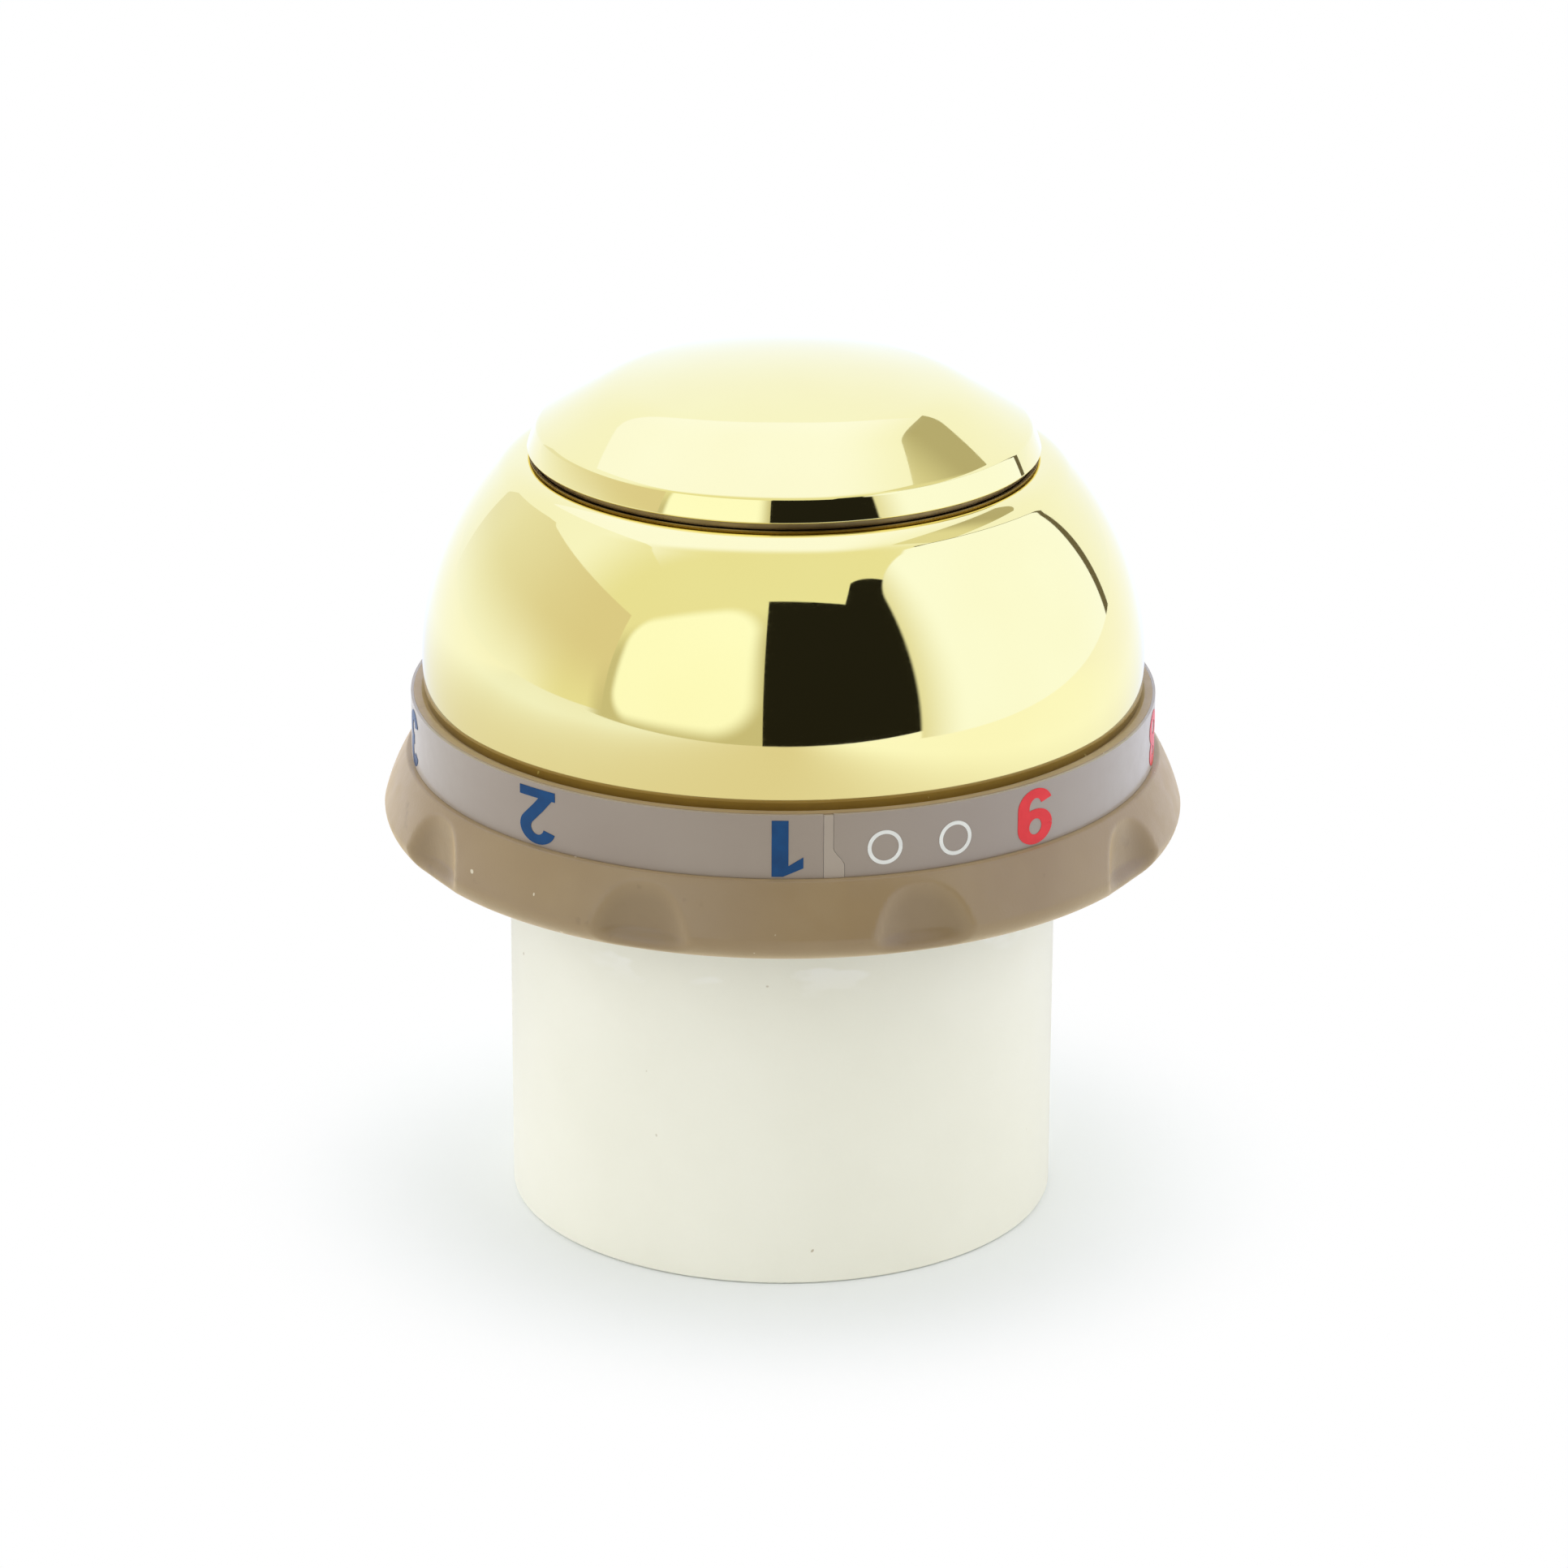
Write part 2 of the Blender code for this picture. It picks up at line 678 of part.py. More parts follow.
scallop_bm = bmesh.new()
scallop_height = 3 * RING_SKIRT_DROP
scallop_offset = ring_radius + SCALLOP_ROUND - SCALLOP_DEPTH
for i in range(SCALLOP_COUNT):
    turned = Matrix.Rotation(radians(SCALLOP_FIRST + pitch * i), 4, "Z")
    moved = Matrix.Translation(Vector((0, -scallop_offset, widest_level)) * MM)
    half_facet = Matrix.Rotation(pi / SCALLOP_STEPS, 4, "Z")
    bmesh.ops.create_cone(
        scallop_bm,
        cap_ends=True,
        segments=SCALLOP_STEPS,
        radius1=SCALLOP_ROUND * MM,
        radius2=SCALLOP_ROUND * MM,
        depth=scallop_height * MM,
        matrix=turned @ moved @ half_facet,
    )
combine(ring, add_object("scallop_tool", scallop_bm), "DIFFERENCE")

band_inner = BAND_RADIUS - BAND_THICKNESS
band_profile = box_profile(band_inner, BAND_RADIUS, band_bottom, band_top)
seam_left = (KEY_WIDTH / 2 + SEAT_GAP) / band_inner * 180 / pi
seam_right = (KEY_FLARE - KEY_WIDTH / 2 + SEAT_GAP) / band_inner * 180 / pi
band_sweep = 360 - seam_left - seam_right
band = revolve("number_band", band_profile, RING_STEPS, KEY_BEARING + seam_right, band_sweep)
place(band, "band", dial)

# Flow stem: tang, clip groove, two seal grooves and a splined top with a tapped hole
stem_clip_floor = STEM_RADIUS - CLIP_GROOVE
seal_levels = [hub_bottom + STEM_SEAL_LOW, hub_bottom + STEM_SEAL_LOW + STEM_SEAL_PITCH]
seal_radius = hub_bore - O_RING_GAP - STEM_SEAL_SECTION
seal_floor = seal_radius - STEM_SEAL_SECTION - O_RING_GAP
seal_half = STEM_SEAL_SECTION + O_RING_GAP
stem_core = STEM_SPLINE_RADIUS - STEM_SPLINE_DEPTH
stem_profile = [(0, hub_top), (STEM_RADIUS, hub_top)]
for level in reversed(seal_levels):
    stem_profile += [
        (STEM_RADIUS, level + seal_half),
        (seal_floor, level + seal_half),
        (seal_floor, level - seal_half),
        (STEM_RADIUS, level - seal_half),
    ]
stem_profile += [
    (STEM_RADIUS, stem_clip_top + O_RING_GAP),
    (stem_clip_floor, stem_clip_top + O_RING_GAP),
    (stem_clip_floor, stem_clip_bottom - O_RING_GAP),
    (STEM_RADIUS, stem_clip_bottom - O_RING_GAP),
    (STEM_RADIUS, stem_bottom),
    (0, stem_bottom),
]
stem = place(revolve("flow_stem", stem_profile, SMALL_STEPS), "raw_brass", knob)
stem_spline = spline(
    "stem_spline_tool",
    SPLINE_TEETH,
    stem_core,
    STEM_SPLINE_DEPTH,
    0,
    hub_top - 1,
    stem_top,
)
combine(stem, stem_spline, "UNION")
tap_radius = KNOB_SCREW_SHANK + SEAT_GAP
tap_bottom = stem_top - KNOB_SCREW_REACH - 1
tap_profile = [(0, stem_top + 1), (tap_radius, stem_top + 1), (tap_radius, tap_bottom), (0, tap_bottom)]
combine(stem, revolve("stem_tap_tool", tap_profile, SCREW_STEPS), "DIFFERENCE")
flat_depth = STEM_RADIUS
for side, sign in (("front", -1), ("back", 1)):
    flat_size = (3 * STEM_RADIUS, flat_depth, 2 * STEM_TANG_LENGTH)
    flat_centre = (0, sign * (STEM_TANG / 2 + flat_depth / 2), stem_bottom)
    combine(stem, block("stem_flat_tool_" + side, flat_size, flat_centre), "DIFFERENCE")

stem_clip_bore = stem_clip_floor + SEAT_GAP
stem_clip_rim = stem_clip_bore + STEM_CLIP_WIDTH
stem_clip_profile = box_profile(stem_clip_bore, stem_clip_rim, stem_clip_bottom, stem_clip_top)
stem_clip = revolve("stem_clip", stem_clip_profile, SMALL_STEPS, CLIP_MOUTH / 2, clip_sweep)
place(stem_clip, "steel", knob)
stem_washer_rim = hub_bore + STEM_WASHER_WIDTH
stem_washer_profile = box_profile(hub_bore, stem_washer_rim, stem_washer_bottom, stem_washer_top)
place(revolve("stem_thrust_washer", stem_washer_profile, SMALL_STEPS), "acetal", knob)
for side, level in zip(("lower", "upper"), seal_levels):
    seal_profile = circle_profile(seal_radius, level, STEM_SEAL_SECTION)
    place(revolve("stem_o_ring_" + side, seal_profile, SMALL_STEPS), "rubber", knob)

# Knob insert: splined boss, screw well, two flanges that carry the dome, and ribs
flange_low = insert_top - INSERT_DISC
disc_low = boss_bottom + INSERT_DISC_RISE
disc_high = disc_low + INSERT_DISC
dome_inset = DOME_WALL + SEAT_GAP
disc_radius = min(dome_radius_at(disc_low, dome_inset), dome_radius_at(disc_high, dome_inset))
insert_hole = KNOB_SCREW_SHANK + SEAT_GAP
insert_profile = [
    (insert_hole, well_bottom),
    (well_radius, well_bottom),
    (well_radius, insert_top),
    (dome_radius_at(insert_top, dome_inset), insert_top),
    (dome_radius_at(flange_low, dome_inset), flange_low),
    (well_radius + WELL_WALL, flange_low),
    (well_radius + WELL_WALL, socket_top),
    (BOSS_RADIUS, socket_top),
    (BOSS_RADIUS, disc_high),
    (disc_radius, disc_high),
    (disc_radius, disc_low),
    (BOSS_RADIUS, disc_low),
    (BOSS_RADIUS, boss_bottom),
    (insert_hole, boss_bottom),
]
insert = place(revolve("knob_insert", insert_profile, CORE_STEPS), "moulding", knob)
rib_mid = well_radius + WELL_WALL / 2
insert_rib_outline = [
    (BOSS_RADIUS - 1, disc_high - INSERT_DISC / 2),
    (disc_radius - 2, disc_high - INSERT_DISC / 2),
    (dome_radius_at(flange_low, dome_inset) - 1, flange_low + INSERT_DISC / 2),
    (rib_mid, flange_low + INSERT_DISC / 2),
    (rib_mid, socket_top + WELL_FLOOR / 2),
    (BOSS_RADIUS - 1, socket_top + WELL_FLOOR / 2),
]
insert_bearings = [360 / INSERT_RIBS * i for i in range(INSERT_RIBS)]
insert_ribs = radial_plates("insert_rib_tool", insert_rib_outline, INSERT_RIB_WIDTH, insert_bearings)
combine(insert, insert_ribs, "UNION")
insert_socket = spline(
    "insert_socket_tool",
    SPLINE_TEETH,
    stem_core,
    STEM_SPLINE_DEPTH,
    SEAT_GAP,
    boss_bottom - 1,
    socket_top,
)
combine(insert, insert_socket, "DIFFERENCE")

# Knob screw and split washer in the well
knob_head_top = knob_head_bottom + KNOB_SCREW_HEAD_HEIGHT
knob_screw_tip = stem_top - KNOB_SCREW_REACH
knob_screw_profile = [
    (0, knob_head_top),
    (KNOB_SCREW_HEAD * 0.75, knob_head_top),
    (KNOB_SCREW_HEAD, knob_head_top - KNOB_SCREW_HEAD_HEIGHT / 3),
    (KNOB_SCREW_HEAD, knob_head_bottom),
    (KNOB_SCREW_SHANK, knob_head_bottom),
    (KNOB_SCREW_SHANK, knob_screw_tip + KNOB_SCREW_SHANK / 2),
    (KNOB_SCREW_SHANK / 2, knob_screw_tip),
    (0, knob_screw_tip),
]
knob_screw = place(revolve("knob_screw", knob_screw_profile, SCREW_STEPS), "steel", knob)
for turn, size in (
    ("along", (KNOB_SCREW_HEAD, SCREW_SLOT, KNOB_SCREW_HEAD_HEIGHT)),
    ("across", (SCREW_SLOT, KNOB_SCREW_HEAD, KNOB_SCREW_HEAD_HEIGHT)),
):
    combine(knob_screw, block("cross_tool_" + turn, size, (0, 0, knob_head_top)), "DIFFERENCE")
washer_profile = box_profile(insert_hole, LOCK_WASHER_RADIUS, lock_washer_bottom, lock_washer_top)
washer_sweep = 360 - LOCK_WASHER_SPLIT
lock_washer = revolve("lock_washer", washer_profile, SMALL_STEPS, LOCK_WASHER_SPLIT / 2, washer_sweep)
place(lock_washer, "steel", knob)

# Brass dome: an elliptical shell with a rolled lower edge
dome_steps = 10
bead_top = dome_base + DOME_BEAD
dome_profile = [(dome_radius - DOME_WALL, dome_base), (dome_radius - DOME_BEAD, dome_base)]
for i in range(dome_steps + 1):
    level = bead_top + (dome_top - bead_top) * sin(pi / 2 * i / dome_steps)
    dome_profile.append((dome_radius_at(level, 0), level))
inner_steps = 6
for i in range(inner_steps):
    level = dome_top - (dome_top - bead_top) * (i / inner_steps) ** 1.6
    dome_profile.append((dome_radius_at(level, DOME_WALL), level))
place(revolve("knob_dome", dome_profile, DOME_STEPS), "brass", knob)

# Brass screw cap: steep side, sloped shoulder, gently crowned top, hollow below
crown_steps = 4
cap_profile = [(CAP_RADIUS - CAP_WALL, cap_base), (CAP_RADIUS, cap_base)]
shoulder_end = (CAP_CROWN_RADIUS, cap_crown)
cap_shoulder_points = bulged((CAP_SIDE_RADIUS, cap_shoulder), shoulder_end, -CAP_SHOULDER_BULGE, 4)
cap_profile += cap_shoulder_points
for i in range(crown_steps + 1):
    share = 1 - i / crown_steps
    cap_profile.append((CAP_CROWN_RADIUS * share, cap_top - CAP_CROWN_RISE * share * share))
cap_profile += [
    (0, cap_top - CAP_WALL),
    (CAP_CROWN_RADIUS, cap_crown - CAP_WALL),
    (CAP_SIDE_RADIUS - CAP_WALL, cap_shoulder - CAP_WALL / 2),
]
place(revolve("screw_cap", cap_profile, DOME_STEPS), "brass", cap)

plug_low = CAP_RADIUS - CAP_WALL - SEAT_GAP
side_slope = (CAP_RADIUS - CAP_SIDE_RADIUS) / (CAP_SIDE_RISE - CAP_WALL / 2)
plug_high = plug_low - side_slope * PLUG_DISC
spigot_bore = SPIGOT_RADIUS - SPIGOT_WALL
spigot_seal_level = cap_base - SPIGOT_LENGTH / 2
spigot_seal_radius = well_radius - O_RING_GAP - SPIGOT_SEAL_SECTION
spigot_floor = spigot_seal_radius - SPIGOT_SEAL_SECTION - O_RING_GAP
spigot_half = SPIGOT_SEAL_SECTION + O_RING_GAP
plug_profile = [
    (0, cap_base + PLUG_DISC),
    (plug_high, cap_base + PLUG_DISC),
    (plug_low, cap_base),
    (SPIGOT_RADIUS, cap_base),
    (SPIGOT_RADIUS, spigot_seal_level + spigot_half),
    (spigot_floor, spigot_seal_level + spigot_half),
    (spigot_floor, spigot_seal_level - spigot_half),
    (SPIGOT_RADIUS, spigot_seal_level - spigot_half),
    (SPIGOT_RADIUS, spigot_bottom),
    (spigot_bore, spigot_bottom),
    (spigot_bore, cap_base),
    (0, cap_base),
]
place(revolve("cap_plug", plug_profile, CORE_STEPS), "moulding", cap)
spigot_seal_profile = circle_profile(spigot_seal_radius, spigot_seal_level, SPIGOT_SEAL_SECTION)
place(revolve("cap_o_ring", spigot_seal_profile, CORE_STEPS), "rubber", cap)
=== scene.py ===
"""Studio view of a wall-mounted mixing-valve control knob.

Fine surfaces stand in for the faceted outer pieces. The inner pieces keep their solids and get
procedural materials. Lengths are in millimetres and MM turns them to metres. Bearings are degrees
from -Y, the camera's side, towards +X.
"""

import json
from math import acos, asin, cos, degrees, pi, radians, sin, sqrt, tan

import bmesh
import bpy
from mathutils import Matrix, Vector
from mathutils.geometry import delaunay_2d_cdt


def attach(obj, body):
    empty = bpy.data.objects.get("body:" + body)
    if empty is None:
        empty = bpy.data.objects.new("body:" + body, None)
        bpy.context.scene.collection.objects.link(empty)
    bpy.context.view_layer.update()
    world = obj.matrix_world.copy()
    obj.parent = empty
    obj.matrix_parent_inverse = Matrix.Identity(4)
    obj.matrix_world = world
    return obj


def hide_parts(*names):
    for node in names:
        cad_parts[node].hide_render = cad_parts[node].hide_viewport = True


MM = 0.001

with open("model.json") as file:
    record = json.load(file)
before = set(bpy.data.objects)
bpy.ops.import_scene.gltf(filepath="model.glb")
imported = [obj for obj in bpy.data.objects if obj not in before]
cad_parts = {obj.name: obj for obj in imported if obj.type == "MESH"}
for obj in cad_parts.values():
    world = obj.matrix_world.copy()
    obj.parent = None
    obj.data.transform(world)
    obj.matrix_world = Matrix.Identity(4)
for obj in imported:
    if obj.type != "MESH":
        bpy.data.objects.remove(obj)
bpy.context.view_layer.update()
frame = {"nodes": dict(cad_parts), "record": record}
scene = bpy.context.scene
scene.view_settings.view_transform = "Standard"

# Sizes of the fine surfaces, which follow the solids closely
SLEEVE_RADIUS = 21.8
SLEEVE_BORE = 19.5
SLEEVE_HEIGHT = 34.6
WEB_BOTTOM = 32.0
WEB_BORE = 12.0
FOOT_GROOVE_RADIUS = 20.65
FOOT_GROOVE_LEVELS = (5.0, 10.0)
FOOT_GROOVE_HALF = 1.05
SLEEVE_TOP_FILLET = 0.5
SLEEVE_FOOT_FILLET = 0.25
GROOVE_FILLET = 0.15
WEB_BORE_FILLET = 0.3
WEB_CORNER_FILLET = 0.8
SLEEVE_STEPS = 160
SCREW_CIRCLE = 16.2
SCREW_HOLE_RADIUS = 3.5
SCREW_SHANK_RADIUS = 2.0
SCREW_RIM_DEPTH = 0.3
SCREW_SEAT_DEPTH = 2.0
CUT_PAST = 1
HOLE_STEPS = 40
POST_INNER = 16.1
POST_OUTER = 18.7
POST_TOP = 37.8
POST_BEARINGS = (170.75, 189.25)
POST_SINK = 1
POST_STEPS = 6
LIP_BORE = 28.7
LIP_RADIUS = 29.27
LIP_TOP = 42.3
LIP_EDGE = 28.66
LIP_FUNNEL = (28.0, 41.98)
LIP_EDGE_FILLET = 0.05
LIP_FILLET = 0.08
LIP_CHAMFER = 1.1
LIP_CHAMFER_FILLETS = (0.3, 0.2)
FUNNEL_DROPS = (0.4, 0.2)
FLARE_TOP = 37.12
SHOULDER_RADIUS = 29.93
RING_RADIUS = 31.72
WIDEST_LEVEL = 32.9
FOOT_RADIUS = 29.6
SKIRT_BOTTOM = 30.87
SKIRT_INNER_LOW = 28.45
SKIRT_INNER_HIGH = 27.63
SKIRT_INNER_MARGIN = 0.5
SKIRT_FILLET = 0.25
SKIRT_ROOF_FILLET = 0.6
SKIRT_STEPS = 14
SHOULDER_FILLET = 0.24
RING_WEB_BOTTOM = 38.1
RING_WEB_TOP = 40.1
RING_HOLE = 10.5
FLARE_BULGE = 0.18
FLARE_STEPS = 28
RING_STEPS = 540
SCALLOP_COUNT = 9
SCALLOP_FIRST = 20.0
SCALLOP_HALF = 3.95
SCALLOP_SHAPE = 2.6
SCALLOP_DEPTH = 1.45
SCALLOP_SOFTNESS = 0.08
SCALLOP_FADE = 1.7
RIB_WIDTH = 1.2
RIB_INNER = 23.4
RIB_LOW = 34.1
RIB_ROOF_SINK = 0.5
RIB_TOP_SINK = 1
RIB_LOW_SINK = 1.1
RIB_TIP_SINK = 0.5
BAND_RADIUS = 29.5
BAND_INNER = 29.28
BAND_TOP = 42.24
BAND_BOTTOM = 37.15
BAND_ROWS = 28
BAND_COLUMNS = 280
KEY_BEARING = 6.75
KEY_HALF = 0.36
KEY_FLARE = 0.85
KEY_FLARE_START = 0.52
KEY_FLARE_LENGTH = 0.30
KEY_GAP = 0.03
KEY_SINK = 0.2
KEY_PROUD = 0.03
KEY_SHORT = 0.06
KEY_COLUMNS = 6
DIGIT_HEIGHT = 4.5
DIGIT_LOW = 37.32
DIGIT_FIRST = 0.75
DIGIT_COUNT = 9
PRINT_BASE = 0.012
PRINT_TOP = 0.035
PRINT_CUTS = 8
PRINT_CUT_STEP = 0.28
PRINT_WELD = 1e-4
MARK_BEARINGS = (15.2, 26.3)
MARK_LEVEL = 39.35
MARK_RADIUS = 1.22
MARK_LINE = 0.3
DOME_RADIUS = 28.56
DOME_RISE = 25.25
DOME_CENTRE = 44.75
DOME_WALL = 1.1
DOME_FOOT = 42.12
DOME_TURN_IN = 0.8
DOME_FOOT_INSETS = (0.29, 0.25, 0.11)
DOME_FOOT_ROUND = 0.03
DOME_FOOT_BLEND = 0.05
DOME_STEPS = 64
DOME_INNER_DROP = 0.7
DOME_INNER_LIFT = 0.4
DOME_INNER_CROWDING = 1.4
DOME_INNER_STEPS = 16
MOUTH_START = 22.5
MOUTH_BEND = (21.55, 61.45)
MOUTH_EDGE = (20.0, 61.53)
MOUTH_STEPS = 16
MOUTH_ROUND = 0.1
MOUTH_ROUND_START = 100
MOUTH_ROUND_SWEEP = 80
MOUTH_ROUND_STEPS = 6
MOUTH_RING = (19.2, 19.95)
MOUTH_RING_LEVELS = (61.35, 61.43)
CAP_BASE = 62.09
CAP_RADIUS = 20.2
CAP_SIDE_RADIUS = 19.45
CAP_SIDE_RISE = 1.67
CAP_CROWN_RADIUS = 13.1
CAP_SHOULDER_RISE = 3.68
CAP_CROWN_RISE = 1.42
SHOULDER_SLOPE = 30.0
SHOULDER_INNER = 15.6
SHOULDER_STEEPENING = 0.9
CROWN_SLOPE = 11.8
CROWN_OUTER = 11.6
CROWN_EDGE = (0.1, 0.16)
CROWN_STEPS = 72
CAP_FILLETS = (0.1, 0.12, 0.2)
CAP_WALL = 1.2
COLLAR = (18.6, 19.6)
COLLAR_LOW = 61.53
BRASS_STEPS = 256
SEAT_STEPS = 128


def seen(red, green, blue):
    """A colour as seen, 0 to 255 a channel, as linear values with alpha."""
    values = []
    for channel in (red, green, blue):
        share = channel / 255
        values.append(share / 12.92 if share <= 0.04045 else ((share + 0.055) / 1.055) ** 2.4)
    return (values[0], values[1], values[2], 1.0)


def bearing_point(bearing, radius, level):
    """A point in metres at a bearing, a radius and a level."""
    angle = radians(bearing)
    return Vector((radius * sin(angle), -radius * cos(angle), level)) * MM


def add_object(name, bm, sharp=40):
    """Turn a bmesh into a smooth-shaded object."""
    bmesh.ops.recalc_face_normals(bm, faces=bm.faces)
    mesh = bpy.data.meshes.new(name)
    bm.to_mesh(mesh)
    bm.free()
    mesh.shade_smooth()
    mesh.set_sharp_from_angle(angle=radians(sharp))
    made = bpy.data.objects.new(name, mesh)
    scene.collection.objects.link(made)
    return made


def turned(bm, profile, steps, reach=None):
    """Add a closed profile of (radius, level) points, turned about the axis.

    A reach function moves each point in or out, and the mesh keeps how far in it went.
    """
    rings = []
    dish = bm.verts.layers.float.new("dish") if reach else None
    for i in range(steps):
        bearing = 360 * i / steps
        ring = []
        for j, (radius, level) in enumerate(profile):
            if radius == 0 and rings:
                ring.append(rings[0][j])
                continue
            out = reach(bearing, radius, level) if reach else radius
            corner = bm.verts.new(bearing_point(bearing, out, level))
            if reach:
                corner[dish] = radius - out
            ring.append(corner)
        rings.append(ring)
    count = len(profile)
    for i in range(steps):
        this = rings[i]
        following = rings[(i + 1) % steps]
        for j in range(count):
            k = (j + 1) % count
            corners = list(dict.fromkeys([this[j], following[j], following[k], this[k]]))
            if len(corners) > 2:
                bm.faces.new(corners)


def filleted(corners, steps=5):
    """Round the corners of a closed outline of (radius, level, fillet) points."""
    points = []
    count = len(corners)
    for i in range(count):
        here = Vector(corners[i][:2])
        fillet = corners[i][2]
        if fillet == 0:
            points.append((here.x, here.y))
            continue
        before = (Vector(corners[i - 1][:2]) - here).normalized()
        after = (Vector(corners[(i + 1) % count][:2]) - here).normalized()
        half = before.angle(after) / 2
        length = fillet / tan(half)
        middle = here + (before + after).normalized() * (fillet / sin(half))
        start = here + before * length - middle
        end = here + after * length - middle
        sweep = start.angle_signed(end)
        for k in range(steps + 1):
            turn = Matrix.Rotation(-sweep * k / steps, 2)
            spot = middle + turn @ start
            points.append((spot.x, spot.y))
    return points


def prism(bm, outline, low, high):
    """Add a prism over an outline of (bearing, radius) points between two levels."""
    face = bm.faces.new([bm.verts.new(bearing_point(b, r, low)) for b, r in outline])
    grown = bmesh.ops.extrude_face_region(bm, geom=[face], use_keep_orig=True)
    moved = [item for item in grown["geom"] if isinstance(item, bmesh.types.BMVert)]
    bmesh.ops.translate(bm, verts=moved, vec=Vector((0, 0, (high - low) * MM)))


def plate(bm, outline, width, bearing):
    """Add a flat radial plate from an outline of (radius, level) points."""
    along = bearing_point(bearing + 90, width, 0)
    corners = [bearing_point(bearing, r, z) - along / 2 for r, z in outline]
    face = bm.faces.new([bm.verts.new(corner) for corner in corners])
    grown = bmesh.ops.extrude_face_region(bm, geom=[face], use_keep_orig=True)
    moved = [item for item in grown["geom"] if isinstance(item, bmesh.types.BMVert)]
    bmesh.ops.translate(bm, verts=moved, vec=along)


# Materials
DRIFT_SPAN = (0.35, 0.65)
NOISE_SPAN = (0.3, 0.7)
VEIL_ROUGHNESS = 0.5
COAT_ROUGHNESS = 0.2
COAT_WEIGHT = 0.6


class Nodes:
    """A new node material with its Principled shader and object coordinates at hand."""

    def __init__(self, name, roughness, metallic=0.0):
        self.material = bpy.data.materials.new(name)
        self.material.use_nodes = True
        self.tree = self.material.node_tree
        self.shader = self.tree.nodes["Principled BSDF"]
        self.shader.inputs["Roughness"].default_value = roughness
        self.shader.inputs["Metallic"].default_value = metallic
        self.surface = self.tree.nodes["Material Output"].inputs["Surface"]
        self.coords = self.add("ShaderNodeTexCoord").outputs["Object"]

    def add(self, kind):
        return self.tree.nodes.new(kind)

    def link(self, source, target):
        self.tree.links.new(source, target)

    def noise(self, scale, detail=3.0, stretch=(1, 1, 1), roughness=0.5):
        """Noise over the piece, with features about 1 / scale metres across."""
        mapping = self.add("ShaderNodeMapping")
        mapping.inputs["Scale"].default_value = stretch
        self.link(self.coords, mapping.inputs["Vector"])
        noise = self.add("ShaderNodeTexNoise")
        noise.inputs["Scale"].default_value = scale
        noise.inputs["Detail"].default_value = detail
        noise.inputs["Roughness"].default_value = roughness
        self.link(mapping.outputs["Vector"], noise.inputs["Vector"])
        return noise.outputs["Fac"]

    def ramp(self, source, low, high, out_low=0.0, out_high=1.0, smooth=False):
        """Map a range of a value to another range, clamped, in a straight or a smooth run."""
        node = self.add("ShaderNodeMapRange")
        node.interpolation_type = "SMOOTHSTEP" if smooth else "LINEAR"
        node.inputs["From Min"].default_value = low
        node.inputs["From Max"].default_value = high
        node.inputs["To Min"].default_value = out_low
        node.inputs["To Max"].default_value = out_high
        self.link(source, node.inputs["Value"])
        return node.outputs["Result"]

    def math(self, operation, first, second):
        """Work out a value from two others."""
        node = self.add("ShaderNodeMath")
        node.operation = operation
        self.link(first, node.inputs[0])
        self.link(second, node.inputs[1])
        return node.outputs["Value"]

    def blend(self, share, first, second):
        """Mix two colours, each a colour or a socket."""
        node = self.add("ShaderNodeMix")
        node.data_type = "RGBA"
        self.link(share, node.inputs["Factor"])
        for colour, target in ((first, node.inputs["A"]), (second, node.inputs["B"])):
            if isinstance(colour, tuple):
                target.default_value = colour
            else:
                self.link(colour, target)
        return node.outputs["Result"]

    def place(self, axis):
        """Where a point lies along an axis, in metres."""
        split = self.add("ShaderNodeSeparateXYZ")
        self.link(self.coords, split.inputs["Vector"])
        return split.outputs[axis]

    def vector(self, operation, source, value=(0, 0, 0), result="Vector"):
        """Work out a vector, or a number with the result Value, from a vector and a fixed one."""
        node = self.add("ShaderNodeVectorMath")
        node.operation = operation
        node.inputs[1].default_value = value
        self.link(source, node.inputs[0])
        return node.outputs[result]

    def mix_surface(self, share, first, second):
        """Show one shader running into another by a share."""
        node = self.add("ShaderNodeMixShader")
        self.link(share, node.inputs["Fac"])
        self.link(first, node.inputs[1])
        self.link(second, node.inputs[2])
        self.link(node.outputs["Shader"], self.surface)

    def colour(self, source):
        self.link(source, self.shader.inputs["Base Color"])

    def drift(self, scale, pale, deep):
        """A slow drift between two colours over the piece."""
        return self.blend(self.ramp(self.noise(scale), *DRIFT_SPAN), pale, deep)

    def veil(self, weight, tint):
        """A thin pale dust that lightens the piece towards its edges."""
        self.shader.inputs["Sheen Weight"].default_value = weight
        self.shader.inputs["Sheen Roughness"].default_value = VEIL_ROUGHNESS
        self.shader.inputs["Sheen Tint"].default_value = tint

    def lacquer(self):
        """A clear coat that mirrors the surroundings at a glancing angle."""
        self.shader.inputs["Coat Weight"].default_value = COAT_WEIGHT
        self.shader.inputs["Coat Roughness"].default_value = COAT_ROUGHNESS

    def rough(self, source):
        self.link(source, self.shader.inputs["Roughness"])

    def uneven(self, scale, low, high, detail=2.0):
        """Let the roughness vary between two values over the piece."""
        self.rough(self.ramp(self.noise(scale, detail), *NOISE_SPAN, low, high))

    def bump(self, source, strength, distance):
        node = self.add("ShaderNodeBump")
        node.inputs["Strength"].default_value = strength
        node.inputs["Distance"].default_value = distance
        self.link(source, node.inputs["Height"])
        self.link(node.outputs["Normal"], self.shader.inputs["Normal"])


